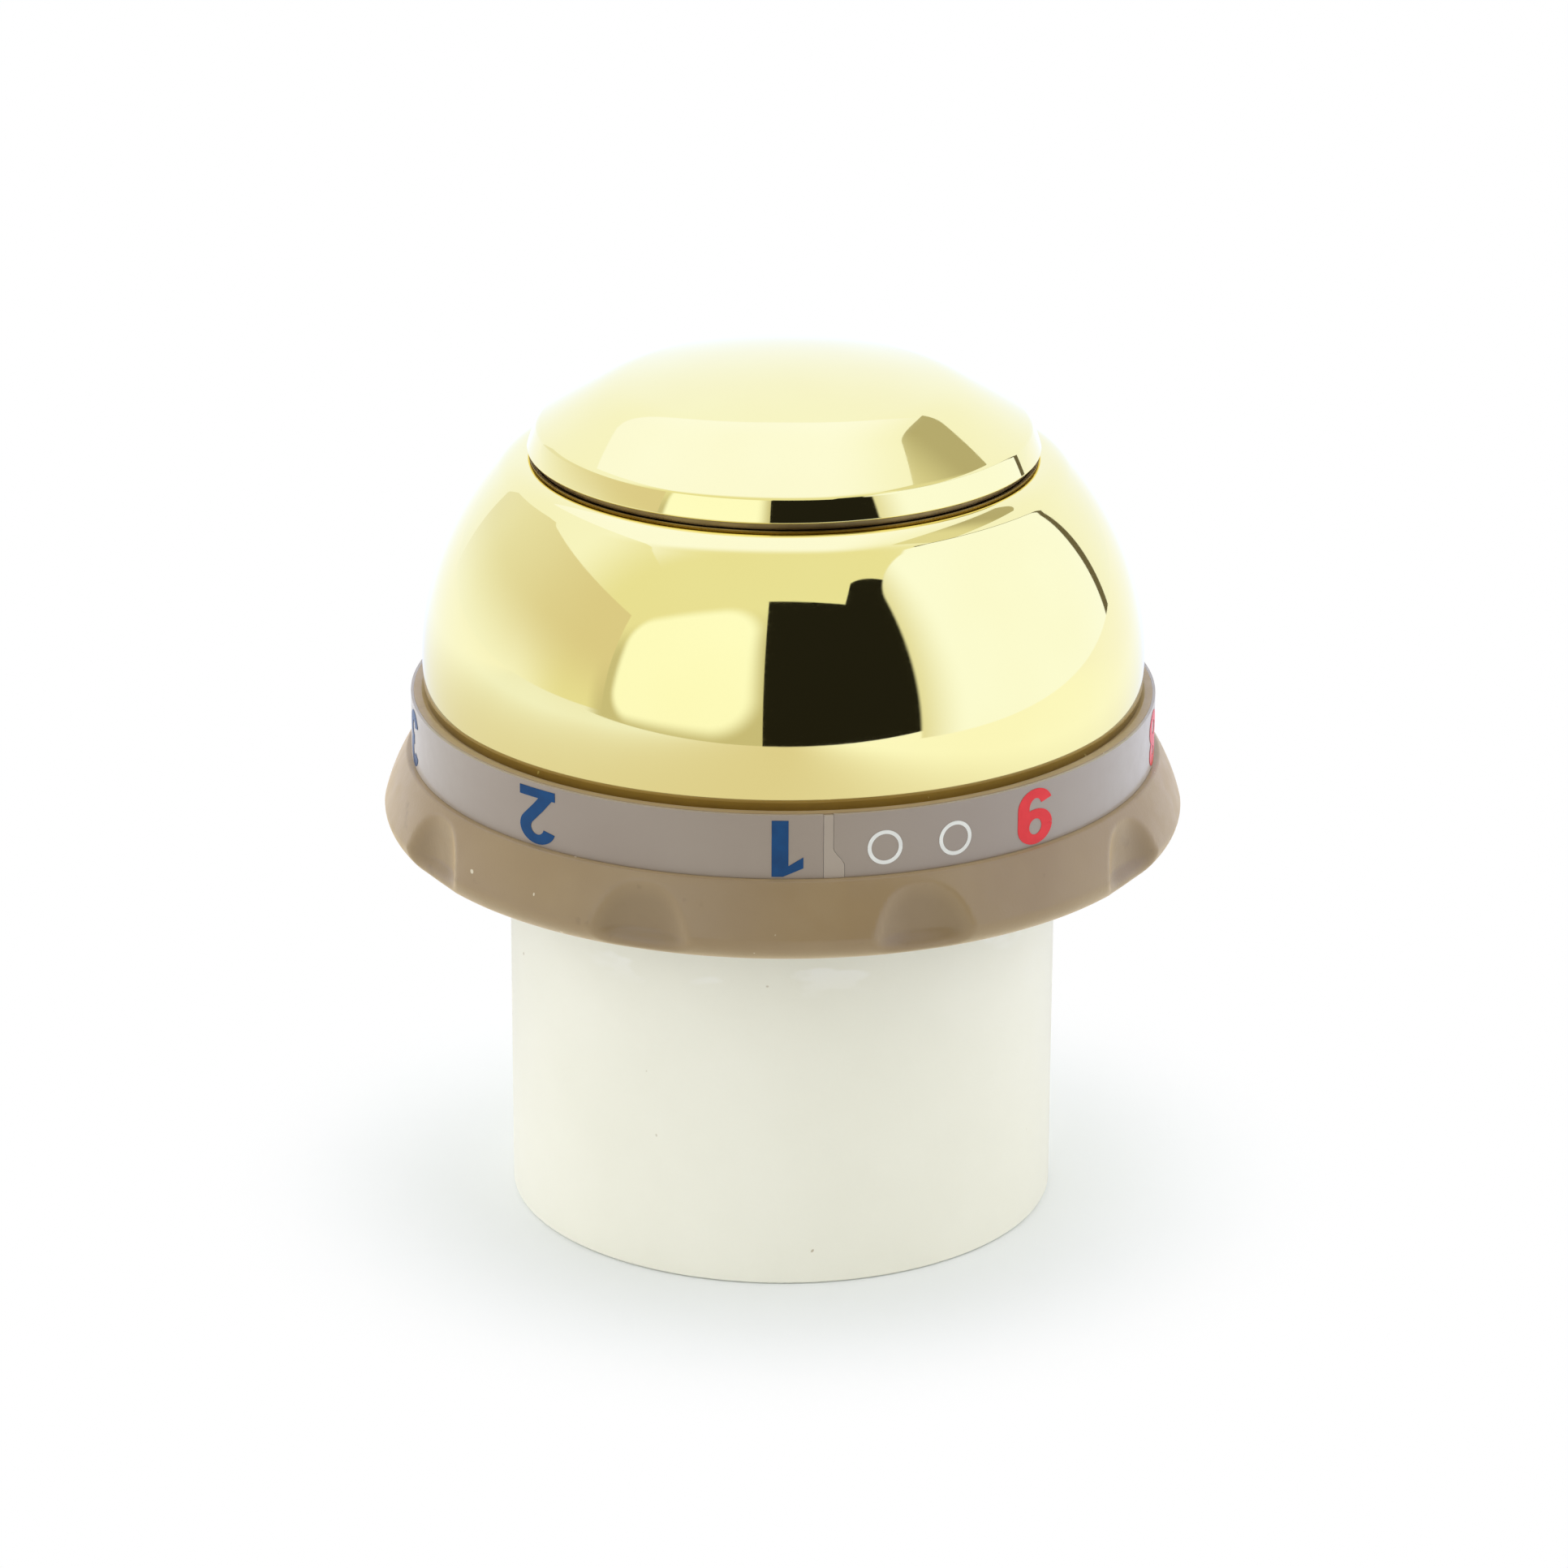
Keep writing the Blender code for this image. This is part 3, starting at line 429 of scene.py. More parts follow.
def moulded(name, pale, deep, roughness, grain=0.25):
    """Moulded plastic: slow colour drift, fine satin grain."""
    made = Nodes(name, roughness)
    made.colour(made.drift(90, pale, deep))
    made.uneven(700, roughness - 0.06, roughness + 0.06)
    made.bump(made.noise(5200, 2.0), grain, 0.00002)
    made.shader.inputs["Specular IOR Level"].default_value = 0.2
    return made.material


def sleeve_plastic():
    """Off-white plastic with a fine grain, faint rubbed marks below the ring and rare specks."""
    made = Nodes("white_plastic", 0.5)
    base = made.drift(60, seen(247, 245, 229), seen(243, 241, 224))
    below_ring = made.ramp(made.place("Z"), 0.0240, 0.0262)
    marks = made.ramp(made.noise(150, 2.0, (1, 1, 2.6)), 0.54, 0.60, 0.0, 0.6)
    rubbed = made.math("MULTIPLY", below_ring, marks)
    base = made.blend(rubbed, base, seen(254, 253, 244))
    specks = made.ramp(made.noise(900, 1.0), 0.83, 0.86)
    base = made.blend(specks, base, seen(196, 186, 158))
    made.colour(base)
    made.veil(0.5, seen(255, 253, 245))
    made.uneven(500, 0.42, 0.56)
    made.bump(made.noise(3800, 2.0), 0.35, 0.00003)
    return made.material


def ring_plastic():
    """Taupe plastic, a little paler where handling has rubbed it, with rare pale nicks and painted shade
    darkening the scallops by how deep they are cut.
    """
    made = Nodes("taupe_plastic", 0.42)
    base = made.drift(110, seen(149, 127, 92), seen(142, 119, 84))
    nicks = made.ramp(made.noise(1100, 1.0), 0.79, 0.81)
    base = made.blend(nicks, base, seen(205, 195, 170))
    grime = made.ramp(made.noise(420, 3.0), 0.66, 0.74, 0.0, 0.5)
    base = made.blend(grime, base, seen(112, 92, 64))
    # Painted shade: the scallops turn darker the deeper they are cut in.
    dish = made.add("ShaderNodeAttribute")
    dish.attribute_name = "dish"
    dished = made.ramp(dish.outputs["Fac"], 0.0, SCALLOP_DEPTH / 2, 0.0, 0.4)
    base = made.blend(dished, base, seen(116, 97, 70))
    made.colour(base)
    made.veil(0.8, seen(232, 208, 165))
    made.uneven(600, 0.30, 0.42)
    made.bump(made.noise(4200, 2.0), 0.3, 0.00003)
    return made.material


def band_plastic(name, pale, deep):
    """Smooth satin strip of the number band."""
    made = Nodes(name, 0.36)
    made.colour(made.drift(70, pale, deep))
    made.veil(0.6, seen(250, 244, 234))
    made.lacquer()
    made.uneven(800, 0.30, 0.42)
    made.bump(made.noise(6000, 2.0), 0.15, 0.00002)
    return made.material


def print_ink(name, pale, deep):
    """Printed ink with slightly uneven cover."""
    made = Nodes(name, 0.4)
    made.colour(made.blend(made.ramp(made.noise(900), *NOISE_SPAN), pale, deep))
    made.lacquer()
    made.uneven(2500, 0.44, 0.56)
    made.shader.inputs["Specular IOR Level"].default_value = 0.0
    return made.material


def polished_brass():
    """Mirror-polished brass: faint tone drift and hairline polishing marks."""
    made = Nodes("polished_brass", 0.03, 1.0)
    made.colour(made.drift(45, seen(248, 233, 160), seen(246, 229, 153)))
    made.rough(made.ramp(made.noise(900, 3.0, (1, 1, 6)), 0.3, 0.8, 0.018, 0.05))
    return made.material


def slit_shade_brass():
    """Brass down in the slit under the cap, darkened to a dull brown as painted shade."""
    made = Nodes("slit_shade_brass", 0.5, 1.0)
    made.colour(made.drift(400, seen(150, 128, 86), seen(138, 116, 74)))
    made.uneven(900, 0.28, 0.42, 3.0)
    return made.material


def turned_brass():
    """Machined brass with lathe rings along the axis."""
    made = Nodes("turned_brass", 0.3, 1.0)
    lines = made.noise(2200, 2.0, (0.05, 0.05, 1))
    made.colour(made.blend(made.ramp(lines, *NOISE_SPAN), seen(214, 180, 104), seen(184, 146, 74)))
    made.rough(made.ramp(lines, *NOISE_SPAN, 0.22, 0.4))
    made.bump(lines, 0.3, 0.00003)
    return made.material


def zinc_steel():
    """Bright zinc-plated steel."""
    made = Nodes("zinc_steel", 0.28, 1.0)
    made.colour(made.drift(300, seen(196, 198, 200), seen(172, 175, 180)))
    made.uneven(1500, 0.2, 0.38, 3.0)
    made.bump(made.noise(5000, 2.0), 0.2, 0.00002)
    return made.material


def nitrile_rubber():
    """Black O-ring rubber with a dusty bloom."""
    made = Nodes("nitrile_rubber", 0.65)
    made.colour(made.blend(made.ramp(made.noise(500), 0.4, 0.7), seen(26, 26, 27), seen(46, 45, 44)))
    made.uneven(1200, 0.55, 0.75, 3.0)
    made.bump(made.noise(4000, 2.0), 0.3, 0.00003)
    return made.material


brass = polished_brass()
shaded_slit_brass = slit_shade_brass()
white = sleeve_plastic()
taupe = ring_plastic()
band_grey = band_plastic("band_grey", seen(148, 134, 118), seen(143, 128, 112))
key_grey = band_plastic("key_grey", seen(162, 148, 131), seen(157, 142, 124))
ink_blue = print_ink("ink_blue", seen(0, 66, 116), seen(0, 58, 104))
ink_white = print_ink("ink_white", seen(232, 232, 226), seen(222, 222, 216))
ink_red = print_ink("ink_red", seen(226, 52, 54), seen(216, 46, 48))
slot_materials = {
    "white_plastic": white,
    "taupe_plastic": taupe,
    "band_print": band_grey,
    "polished_brass": brass,
    "turned_brass": turned_brass(),
    "steel": zinc_steel(),
    "acetal": moulded("acetal", seen(234, 232, 224), seen(226, 223, 213), 0.45),
    "dark_plastic": moulded("dark_plastic", seen(56, 52, 48), seen(46, 43, 40), 0.5),
    "rubber": nitrile_rubber(),
}
node_slots = {item["node"]: item["material_slot"] for item in frame["record"]["subparts"]}
for node, solid in frame["nodes"].items():
    solid.data.materials.clear()
    solid.data.materials.append(slot_materials[node_slots[node]])


def dress(made, finish, body, slot, *nodes):
    """Give a piece its material and its body, and hide the solids it stands for. The slot is not used."""
    made.data.materials.append(finish)
    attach(made, body)
    if nodes:
        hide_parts(*nodes)


# Mounting sleeve with a softened foot, grooves, web, screw holes and stop post
sleeve_corners = [
    (WEB_BORE, SLEEVE_HEIGHT, WEB_BORE_FILLET),
    (SLEEVE_RADIUS, SLEEVE_HEIGHT, SLEEVE_TOP_FILLET),
    (SLEEVE_RADIUS, 0, SLEEVE_FOOT_FILLET),
    (SLEEVE_BORE, 0, SLEEVE_FOOT_FILLET),
]
for level in FOOT_GROOVE_LEVELS:
    sleeve_corners += [
        (SLEEVE_BORE, level - FOOT_GROOVE_HALF, GROOVE_FILLET),
        (FOOT_GROOVE_RADIUS, level - FOOT_GROOVE_HALF, GROOVE_FILLET),
        (FOOT_GROOVE_RADIUS, level + FOOT_GROOVE_HALF, GROOVE_FILLET),
        (SLEEVE_BORE, level + FOOT_GROOVE_HALF, GROOVE_FILLET),
    ]
sleeve_corners += [
    (SLEEVE_BORE, WEB_BOTTOM, WEB_CORNER_FILLET),
    (WEB_BORE, WEB_BOTTOM, WEB_BORE_FILLET),
]
sleeve_bm = bmesh.new()
turned(sleeve_bm, filleted(sleeve_corners), SLEEVE_STEPS)
sleeve = add_object("sleeve_skin", sleeve_bm)
hole_profile = [
    (0, SLEEVE_HEIGHT + CUT_PAST),
    (SCREW_HOLE_RADIUS, SLEEVE_HEIGHT + CUT_PAST),
    (SCREW_HOLE_RADIUS, SLEEVE_HEIGHT - SCREW_RIM_DEPTH),
    (SCREW_SHANK_RADIUS, SLEEVE_HEIGHT - SCREW_SEAT_DEPTH),
    (SCREW_SHANK_RADIUS, WEB_BOTTOM - CUT_PAST),
    (0, WEB_BOTTOM - CUT_PAST),
]
cutters = []
for x in (-SCREW_CIRCLE, SCREW_CIRCLE):
    cutter_bm = bmesh.new()
    turned(cutter_bm, hole_profile, HOLE_STEPS)
    cutter = add_object("screw_hole", cutter_bm)
    cutter.location.x = x * MM
    cut = sleeve.modifiers.new("screw_hole", "BOOLEAN")
    cut.object = cutter
    cut.operation = "DIFFERENCE"
    cutters.append(cutter)
bpy.context.view_layer.update()
ready = sleeve.evaluated_get(bpy.context.evaluated_depsgraph_get())
sleeve_mesh = bpy.data.meshes.new_from_object(ready)
sleeve.modifiers.clear()
sleeve.data = sleeve_mesh
for cutter in cutters:
    bpy.data.objects.remove(cutter, do_unlink=True)
post_bm = bmesh.new()
post_bm.from_mesh(sleeve.data)
first, last = POST_BEARINGS
post_turns = [(last - first) * i / POST_STEPS for i in range(POST_STEPS + 1)]
post_outline = [(first + turn, POST_OUTER) for turn in post_turns]
post_outline += [(last - turn, POST_INNER) for turn in post_turns]
prism(post_bm, post_outline, SLEEVE_HEIGHT - POST_SINK, POST_TOP)
bmesh.ops.recalc_face_normals(post_bm, faces=post_bm.faces)
post_bm.to_mesh(sleeve.data)
post_bm.free()
sleeve.data.materials.clear()
dress(sleeve, white, "mount", "white_plastic", "mounting_sleeve")

# Grip ring with its flared skirt, scallops and underside ribs
pitch = 360 / SCALLOP_COUNT


def scalloped(bearing, radius, level):
    """Radius of the ring's outside with the nearest scallop cut in softly."""
    if level > FLARE_TOP or radius < SKIRT_INNER_LOW + SKIRT_INNER_MARGIN:
        return radius
    off = (bearing - SCALLOP_FIRST + pitch / 2) % pitch - pitch / 2
    across = abs(RING_RADIUS * sin(radians(off))) / SCALLOP_HALF
    cut = RING_RADIUS - SCALLOP_DEPTH + SCALLOP_DEPTH * across**SCALLOP_SHAPE
    share = max(SCALLOP_SOFTNESS - abs(radius - cut), 0) / SCALLOP_SOFTNESS
    dished = min(radius, cut) - share * share * SCALLOP_SOFTNESS / 4
    reach = min(max((level - SKIRT_BOTTOM) / SCALLOP_FADE, 0), 1)
    return radius + (dished - radius) * reach


flare = Vector((RING_RADIUS - SHOULDER_RADIUS, WIDEST_LEVEL - FLARE_TOP))
outward = Vector((-flare.y, flare.x)).normalized()
flare_points = []
for i in range(1, FLARE_STEPS + 1):
    t = i / FLARE_STEPS
    spot = Vector((SHOULDER_RADIUS, FLARE_TOP)) + flare * t + outward * FLARE_BULGE * 4 * t * (1 - t)
    flare_points.append((spot.x, spot.y, 0))
for i in range(1, SKIRT_STEPS + 1):
    turn = pi / 2 * i / SKIRT_STEPS
    foot_r = FOOT_RADIUS + (RING_RADIUS - FOOT_RADIUS) * cos(turn)
    flare_points.append((foot_r, WIDEST_LEVEL - (WIDEST_LEVEL - SKIRT_BOTTOM) * sin(turn), 0))
ring_corners = [
    (*LIP_FUNNEL, 0),
    (LIP_EDGE, LIP_TOP, LIP_EDGE_FILLET),
    (LIP_RADIUS, LIP_TOP, LIP_FILLET),
    (LIP_RADIUS, FLARE_TOP, 0),
    (SHOULDER_RADIUS, FLARE_TOP, SHOULDER_FILLET),
]
ring_corners += flare_points
ring_corners += [
    (SKIRT_INNER_LOW, SKIRT_BOTTOM, SKIRT_FILLET),
    (SKIRT_INNER_HIGH, RING_WEB_BOTTOM, SKIRT_ROOF_FILLET),
    (RING_HOLE, RING_WEB_BOTTOM, 0),
    (RING_HOLE, RING_WEB_TOP, 0),
    (LIP_BORE - LIP_CHAMFER, RING_WEB_TOP, LIP_CHAMFER_FILLETS[0]),
    (LIP_BORE, RING_WEB_TOP + LIP_CHAMFER, LIP_CHAMFER_FILLETS[1]),
    (LIP_BORE, LIP_FUNNEL[1] - FUNNEL_DROPS[0], 0),
    (LIP_FUNNEL[0], LIP_FUNNEL[1] - FUNNEL_DROPS[1], 0),
]
ring_bm = bmesh.new()
turned(ring_bm, filleted(ring_corners), RING_STEPS, scalloped)
rib_outline = [
    (RIB_INNER, RING_WEB_BOTTOM + RIB_ROOF_SINK),
    (SKIRT_INNER_HIGH + RIB_TOP_SINK, RING_WEB_BOTTOM + RIB_ROOF_SINK),
    (SKIRT_INNER_LOW + RIB_LOW_SINK, RIB_LOW),
    (SKIRT_INNER_LOW + RIB_TIP_SINK, RIB_LOW),
    (RIB_INNER, RING_WEB_BOTTOM - RIB_WIDTH),
]
for i in range(SCALLOP_COUNT):
    plate(ring_bm, rib_outline, RIB_WIDTH, SCALLOP_FIRST + pitch * (i + 0.5))
ring = add_object("ring_skin", ring_bm, sharp=35)
dress(ring, taupe, "dial", "taupe_plastic", "grip_ring")


# Number band: a strip from the key right round to it again, its start shaped to the key's flare
def key_right(level):
    """How far right of the key's centre its right edge lies, in millimetres."""
    share = (BAND_TOP - level) / (BAND_TOP - BAND_BOTTOM)
    ease = min(max((share - KEY_FLARE_START) / KEY_FLARE_LENGTH, 0), 1)
    return KEY_HALF + KEY_FLARE * ease * ease * (3 - 2 * ease)


def strip(name, left_of, right_of, inner, outer, low, high, rows, columns):
    """A curved strip between two edges given in millimetres along the band at each level."""
    bm = bmesh.new()
    sheets = []
    for radius in (outer, inner):
        sheet = []
        for i in range(rows + 1):
            level = low + (high - low) * i / rows
            start = degrees(left_of(level) / BAND_RADIUS)
            end = degrees(right_of(level) / BAND_RADIUS)
            line = []
            for j in range(columns + 1):
                bearing = KEY_BEARING + start + (end - start) * j / columns
                line.append(bm.verts.new(bearing_point(bearing, radius, level)))
            sheet.append(line)
        sheets.append(sheet)
    front, back = sheets
    for i in range(rows):
        for j in range(columns):
            for sheet in sheets:
                bm.faces.new([sheet[i][j], sheet[i][j + 1], sheet[i + 1][j + 1], sheet[i + 1][j]])
        for j in (0, columns):
            bm.faces.new([front[i][j], front[i + 1][j], back[i + 1][j], back[i][j]])
    for i in (0, rows):
        for j in range(columns):
            bm.faces.new([front[i][j], front[i][j + 1], back[i][j + 1], back[i][j]])
    return add_object(name, bm)


around = radians(360) * BAND_RADIUS
band = strip(
    "band_skin",
    lambda level: key_right(level) + KEY_GAP,
    lambda level: around - KEY_HALF - KEY_GAP,
    BAND_INNER,
    BAND_RADIUS,
    BAND_BOTTOM,
    BAND_TOP,
    BAND_ROWS,
    BAND_COLUMNS,
)
dress(band, band_grey, "dial", "band_print", "number_band")
key = strip(
    "band_key",
    lambda level: -KEY_HALF,
    key_right,
    LIP_RADIUS - KEY_SINK,
    BAND_RADIUS + KEY_PROUD,
    BAND_BOTTOM,
    BAND_TOP - KEY_SHORT,
    BAND_ROWS,
    KEY_COLUMNS,
)
dress(key, key_grey, "dial", "band_print")


# Printed numbers, upside down, each drawn with a pen in a box one unit high and then stretched sideways
PEN = 0.172
PEN_STRETCH = 1.45
WIDE = 0.54
BOWL = (WIDE - PEN) / 2
MIDDLE = WIDE / 2
ARC_STEPS = 20


def arc(centre, radii, start, end):
    """Points along an arc of an ellipse, angles in degrees."""
    points = []
    for i in range(ARC_STEPS + 1):
        turn = radians(start + (end - start) * i / ARC_STEPS)
        points.append((centre[0] + radii[0] * cos(turn), centre[1] + radii[1] * sin(turn)))
    return points


def stroke(path, width=PEN):
    """The outline of a pen stroke along a path, anticlockwise."""
    left = []
    right = []
    for i, point in enumerate(path):
        ahead = Vector(path[min(i + 1, len(path) - 1)])
        behind = Vector(path[max(i - 1, 0)])
        along = (ahead - behind).normalized() * width / 2
        left.append((point[0] - along.y, point[1] + along.x))
        right.append((point[0] + along.y, point[1] - along.x))
    return right + left[::-1]


def loop(centre, radii, width=PEN):
    """A closed oval as two half strokes."""
    return [stroke(arc(centre, radii, 0, 180), width), stroke(arc(centre, radii, 180, 360), width)]


def bar(left, low, right, high):
    """A rectangle."""
    return [(left, low), (right, low), (right, high), (left, high)]


def half_turned(outlines):
    """Outlines turned by half a turn in the digit's box."""
    return [[(WIDE - x, 1 - y) for x, y in outline] for outline in outlines]


nine = loop((MIDDLE, 0.684), (BOWL, 0.23))
nine.append(stroke([(WIDE - PEN / 2, 0.70)] + arc((MIDDLE, 0.34), (BOWL, 0.254), 0, -158)))
GLYPHS = {
    1: [[(0.172, 0), (0.366, 0), (0.366, 1), (0.237, 1), (0, 0.85), (0, 0.655), (0.172, 0.81)]],
    2: [
        stroke(arc((MIDDLE, 0.70), (BOWL, 0.214), 168, -38) + [(0.25, 0.33), (0.11, 0.10)]),
        bar(0, 0, WIDE, 0.165),
    ],
    3: [
        stroke(arc((0.26, 0.72), (0.165, 0.194), 165, -90)),
        stroke(arc((0.26, 0.306), (BOWL, 0.22), 90, -165)),
    ],
    4: [
        bar(0.30, 0, 0.30 + PEN, 1),
        bar(0, 0.21, WIDE, 0.365),
        [(0, 0.36), (0.155, 0.36), (0.33, 0.76), (0.33, 1), (0.29, 1)],
    ],
    5: [
        bar(0.08, 0.84, 0.49, 1),
        bar(0.08, 0.50, 0.08 + PEN * 0.8, 0.9),
        stroke(arc((0.25, 0.322), (0.20, 0.236), 125, -160)),
    ],
    6: half_turned(nine),
    7: [bar(0, 0.84, WIDE, 1), stroke([(0.47, 0.92), (0.36, 0.66), (0.25, 0.35), (0.2, 0)])],
    8: loop((MIDDLE, 0.738), (BOWL - 0.025, 0.176)) + loop((MIDDLE, 0.3), (BOWL, 0.214)),
    9: nine,
}


def printed(name, outlines, bearing, ink):
    """Outlines in millimetres round a bearing, wrapped on the band as a thin layer of ink."""
    corners = []
    faces = []
    for outline in outlines:
        faces.append(list(range(len(corners), len(corners) + len(outline))))
        corners += [Vector(point) for point in outline]
    whole_hull = 0
    corners, _, faces, _, _, sources = delaunay_2d_cdt(corners, [], faces, whole_hull, PRINT_WELD)
    bm = bmesh.new()
    verts = [bm.verts.new((corner.x, corner.y, 0)) for corner in corners]
    for face, source in zip(faces, sources):
        if source:
            bm.faces.new([verts[i] for i in face])
    bmesh.ops.delete(bm, geom=[v for v in bm.verts if not v.link_faces], context="VERTS")
    for i in range(-PRINT_CUTS, PRINT_CUTS + 1):
        geometry = bm.verts[:] + bm.edges[:] + bm.faces[:]
        bmesh.ops.bisect_plane(bm, geom=geometry, plane_co=(i * PRINT_CUT_STEP, 0, 0), plane_no=(1, 0, 0))
    grown = bmesh.ops.extrude_face_region(bm, geom=bm.faces[:], use_keep_orig=True)
    for item in grown["geom"]:
        if isinstance(item, bmesh.types.BMVert):
            item.co.z = 1
    for v in bm.verts:
        rise = PRINT_TOP if v.co.z > 0.5 else PRINT_BASE
        v.co = bearing_point(bearing + degrees(v.co.x / BAND_RADIUS), BAND_RADIUS + rise, v.co.y)
    dress(add_object(name, bm, sharp=30), ink, "dial", "band_print")


inks = {5: ink_white}
for number in range(1, DIGIT_COUNT + 1):
    widths = [x for outline in GLYPHS[number] for x, y in outline]
    middle = (min(widths) + max(widths)) / 2
    outlines = []
    for outline in GLYPHS[number]:
        turned_over = []
        for x, y in outline:
            across = (middle - x) * PEN_STRETCH * DIGIT_HEIGHT
            turned_over.append((across, DIGIT_LOW + (1 - y) * DIGIT_HEIGHT))
        outlines.append(turned_over)
    ink = inks.get(number, ink_blue if number < 5 else ink_red)
    printed(f"number_{number}", outlines, DIGIT_FIRST - pitch * (number - 1), ink)
for i, bearing in enumerate(MARK_BEARINGS):
    ring_mark = loop((0, MARK_LEVEL), (MARK_RADIUS, MARK_RADIUS), MARK_LINE)
    printed(f"plain_mark_{i + 1}", ring_mark, bearing, ink_white)


# Brass dome with a turned-in foot and a mouth that flattens towards the cap
def dome_at(level, inset):
    """Radius of the dome's ellipse at a level, set in from the outside."""
    share = (level - DOME_CENTRE) / (DOME_RISE - inset)
    return (DOME_RADIUS - inset) * sqrt(1 - share * share)


start_turn = -asin((DOME_CENTRE - DOME_FOOT - DOME_TURN_IN) / DOME_RISE)
mouth_turn = acos(MOUTH_START / DOME_RADIUS)
dome_profile = [
    (DOME_RADIUS - DOME_WALL, DOME_FOOT),
    (DOME_RADIUS - DOME_FOOT_INSETS[0], DOME_FOOT),
    (DOME_RADIUS - DOME_FOOT_INSETS[1], DOME_FOOT + DOME_FOOT_ROUND),
    (DOME_RADIUS - DOME_FOOT_INSETS[2], DOME_FOOT + DOME_TURN_IN - DOME_FOOT_BLEND),
]
for i in range(DOME_STEPS + 1):
    turn = start_turn + (mouth_turn - start_turn) * i / DOME_STEPS
    dome_profile.append((DOME_RADIUS * cos(turn), DOME_CENTRE + DOME_RISE * sin(turn)))
mouth_start = Vector(dome_profile[-1])
mouth_bend = Vector(MOUTH_BEND)
mouth_edge = Vector(MOUTH_EDGE)
for i in range(1, MOUTH_STEPS + 1):
    t = i / MOUTH_STEPS
    spot = mouth_start * (1 - t) ** 2 + mouth_bend * 2 * t * (1 - t) + mouth_edge * t * t
    dome_profile.append((spot.x, spot.y))
for i in range(1, MOUTH_ROUND_STEPS + 1):
    turn = radians(MOUTH_ROUND_START + MOUTH_ROUND_SWEEP * i / MOUTH_ROUND_STEPS)
    rounded_level = mouth_edge.y - MOUTH_ROUND + MOUTH_ROUND * sin(turn)
    dome_profile.append((mouth_edge.x + MOUTH_ROUND * cos(turn), rounded_level))
inner_top = mouth_edge.y - DOME_INNER_DROP
inner_foot = DOME_FOOT + DOME_INNER_LIFT
for i in range(DOME_INNER_STEPS + 1):
    level = inner_top - (inner_top - inner_foot) * (i / DOME_INNER_STEPS) ** DOME_INNER_CROWDING
    dome_profile.append((dome_at(level, DOME_WALL), level))
dome_bm = bmesh.new()
turned(dome_bm, dome_profile, BRASS_STEPS)
dome = add_object("dome_skin", dome_bm, sharp=50)
dress(dome, brass, "knob", "polished_brass", "knob_dome")


def seat_ring(name, radii, levels, body):
    """A plain ring down in the slit between cap and dome, darkened with painted shade."""
    inner, outer = radii
    low, high = levels
    bm = bmesh.new()
    turned(bm, [(inner, low), (outer, low), (outer, high), (inner, high)], SEAT_STEPS)
    dress(add_object(name, bm), shaded_slit_brass, body, "turned_brass")


seat_ring("mouth_ring", MOUTH_RING, MOUTH_RING_LEVELS, "knob")
seat_ring("cap_collar", COLLAR, (COLLAR_LOW, CAP_BASE), "cap")

# Brass screw cap: steep side, crisp edge, sloped shoulder, gently crowned top
cap_shoulder = CAP_BASE + CAP_SIDE_RISE
cap_crown = cap_shoulder + CAP_SHOULDER_RISE
cap_top = cap_crown + CAP_CROWN_RISE


def crown_slope(radius):
    """Downward slope of the cap's top at a radius: steady on the shoulder, easing over the crown."""
    if radius > SHOULDER_INNER:
        return tan(radians(SHOULDER_SLOPE + SHOULDER_STEEPENING * (radius - SHOULDER_INNER)))
    if radius < CROWN_OUTER:
        return tan(radians(CROWN_SLOPE * radius / CROWN_OUTER))
    share = (radius - CROWN_OUTER) / (SHOULDER_INNER - CROWN_OUTER)
    return tan(radians(CROWN_SLOPE + (SHOULDER_SLOPE - CROWN_SLOPE) * share * share * (3 - 2 * share)))


crown_start = CAP_SIDE_RADIUS - CROWN_EDGE[0]
crown_low = cap_shoulder + CROWN_EDGE[1]
crown_step = crown_start / CROWN_STEPS
rises = [crown_slope(crown_start - crown_step * (i + 0.5)) * crown_step for i in range(CROWN_STEPS)]
crown_scale = (cap_top - crown_low) / sum(rises)
crown = [(crown_start, crown_low)]
for i, climb in enumerate(rises):
    crown.append((max(crown_start - crown_step * (i + 1), 0.0), crown[-1][1] + climb * crown_scale))
crown[-1] = (0, cap_top)
cap_corners = [
    (CAP_RADIUS - CAP_WALL, CAP_BASE, CAP_FILLETS[0]),
    (CAP_RADIUS, CAP_BASE, CAP_FILLETS[1]),
    (CAP_SIDE_RADIUS, cap_shoulder, CAP_FILLETS[2]),
]
cap_corners += [(r, z, 0) for r, z in crown]
cap_corners += [
    (0, cap_top - CAP_WALL, 0),
    (CAP_CROWN_RADIUS, cap_crown - CAP_WALL, 0),
    (CAP_SIDE_RADIUS - CAP_WALL, cap_shoulder - CAP_WALL / 2, 0),
]
cap_bm = bmesh.new()
turned(cap_bm, filleted(cap_corners), BRASS_STEPS)
cap = add_object("cap_skin", cap_bm, sharp=50)
dress(cap, brass, "cap", "polished_brass", "screw_cap")

# Studio: a white tent that brightens to the back, light cards round and above, and a dark opening in front
TENT_RADIUS = 1.6
TENT_LOW = -4
TENT_ROWS = 16
TENT_COLUMNS = 48
CARD_FOOT = 0.001
FRONT_BEARING = 0
FRONT_DISTANCE = 0.41
SURROUND_DISTANCE = 0.415
NOTCH_DEPTH = -0.412
OPENING_LEFT = -0.043
RIGHT_BEARING = 55
RIGHT_DISTANCE = 0.356
RIM_DISTANCE = 0.358
LEFT_BEARING = -85
LEFT_DISTANCE = 0.40
DARK = (0.015, 0.015, 0.013)
UP = (0, 0, 1)
BACK = (0, 1, 0)


def grey(level):
    """A neutral colour with alpha."""
    return (level, level, level, 1)


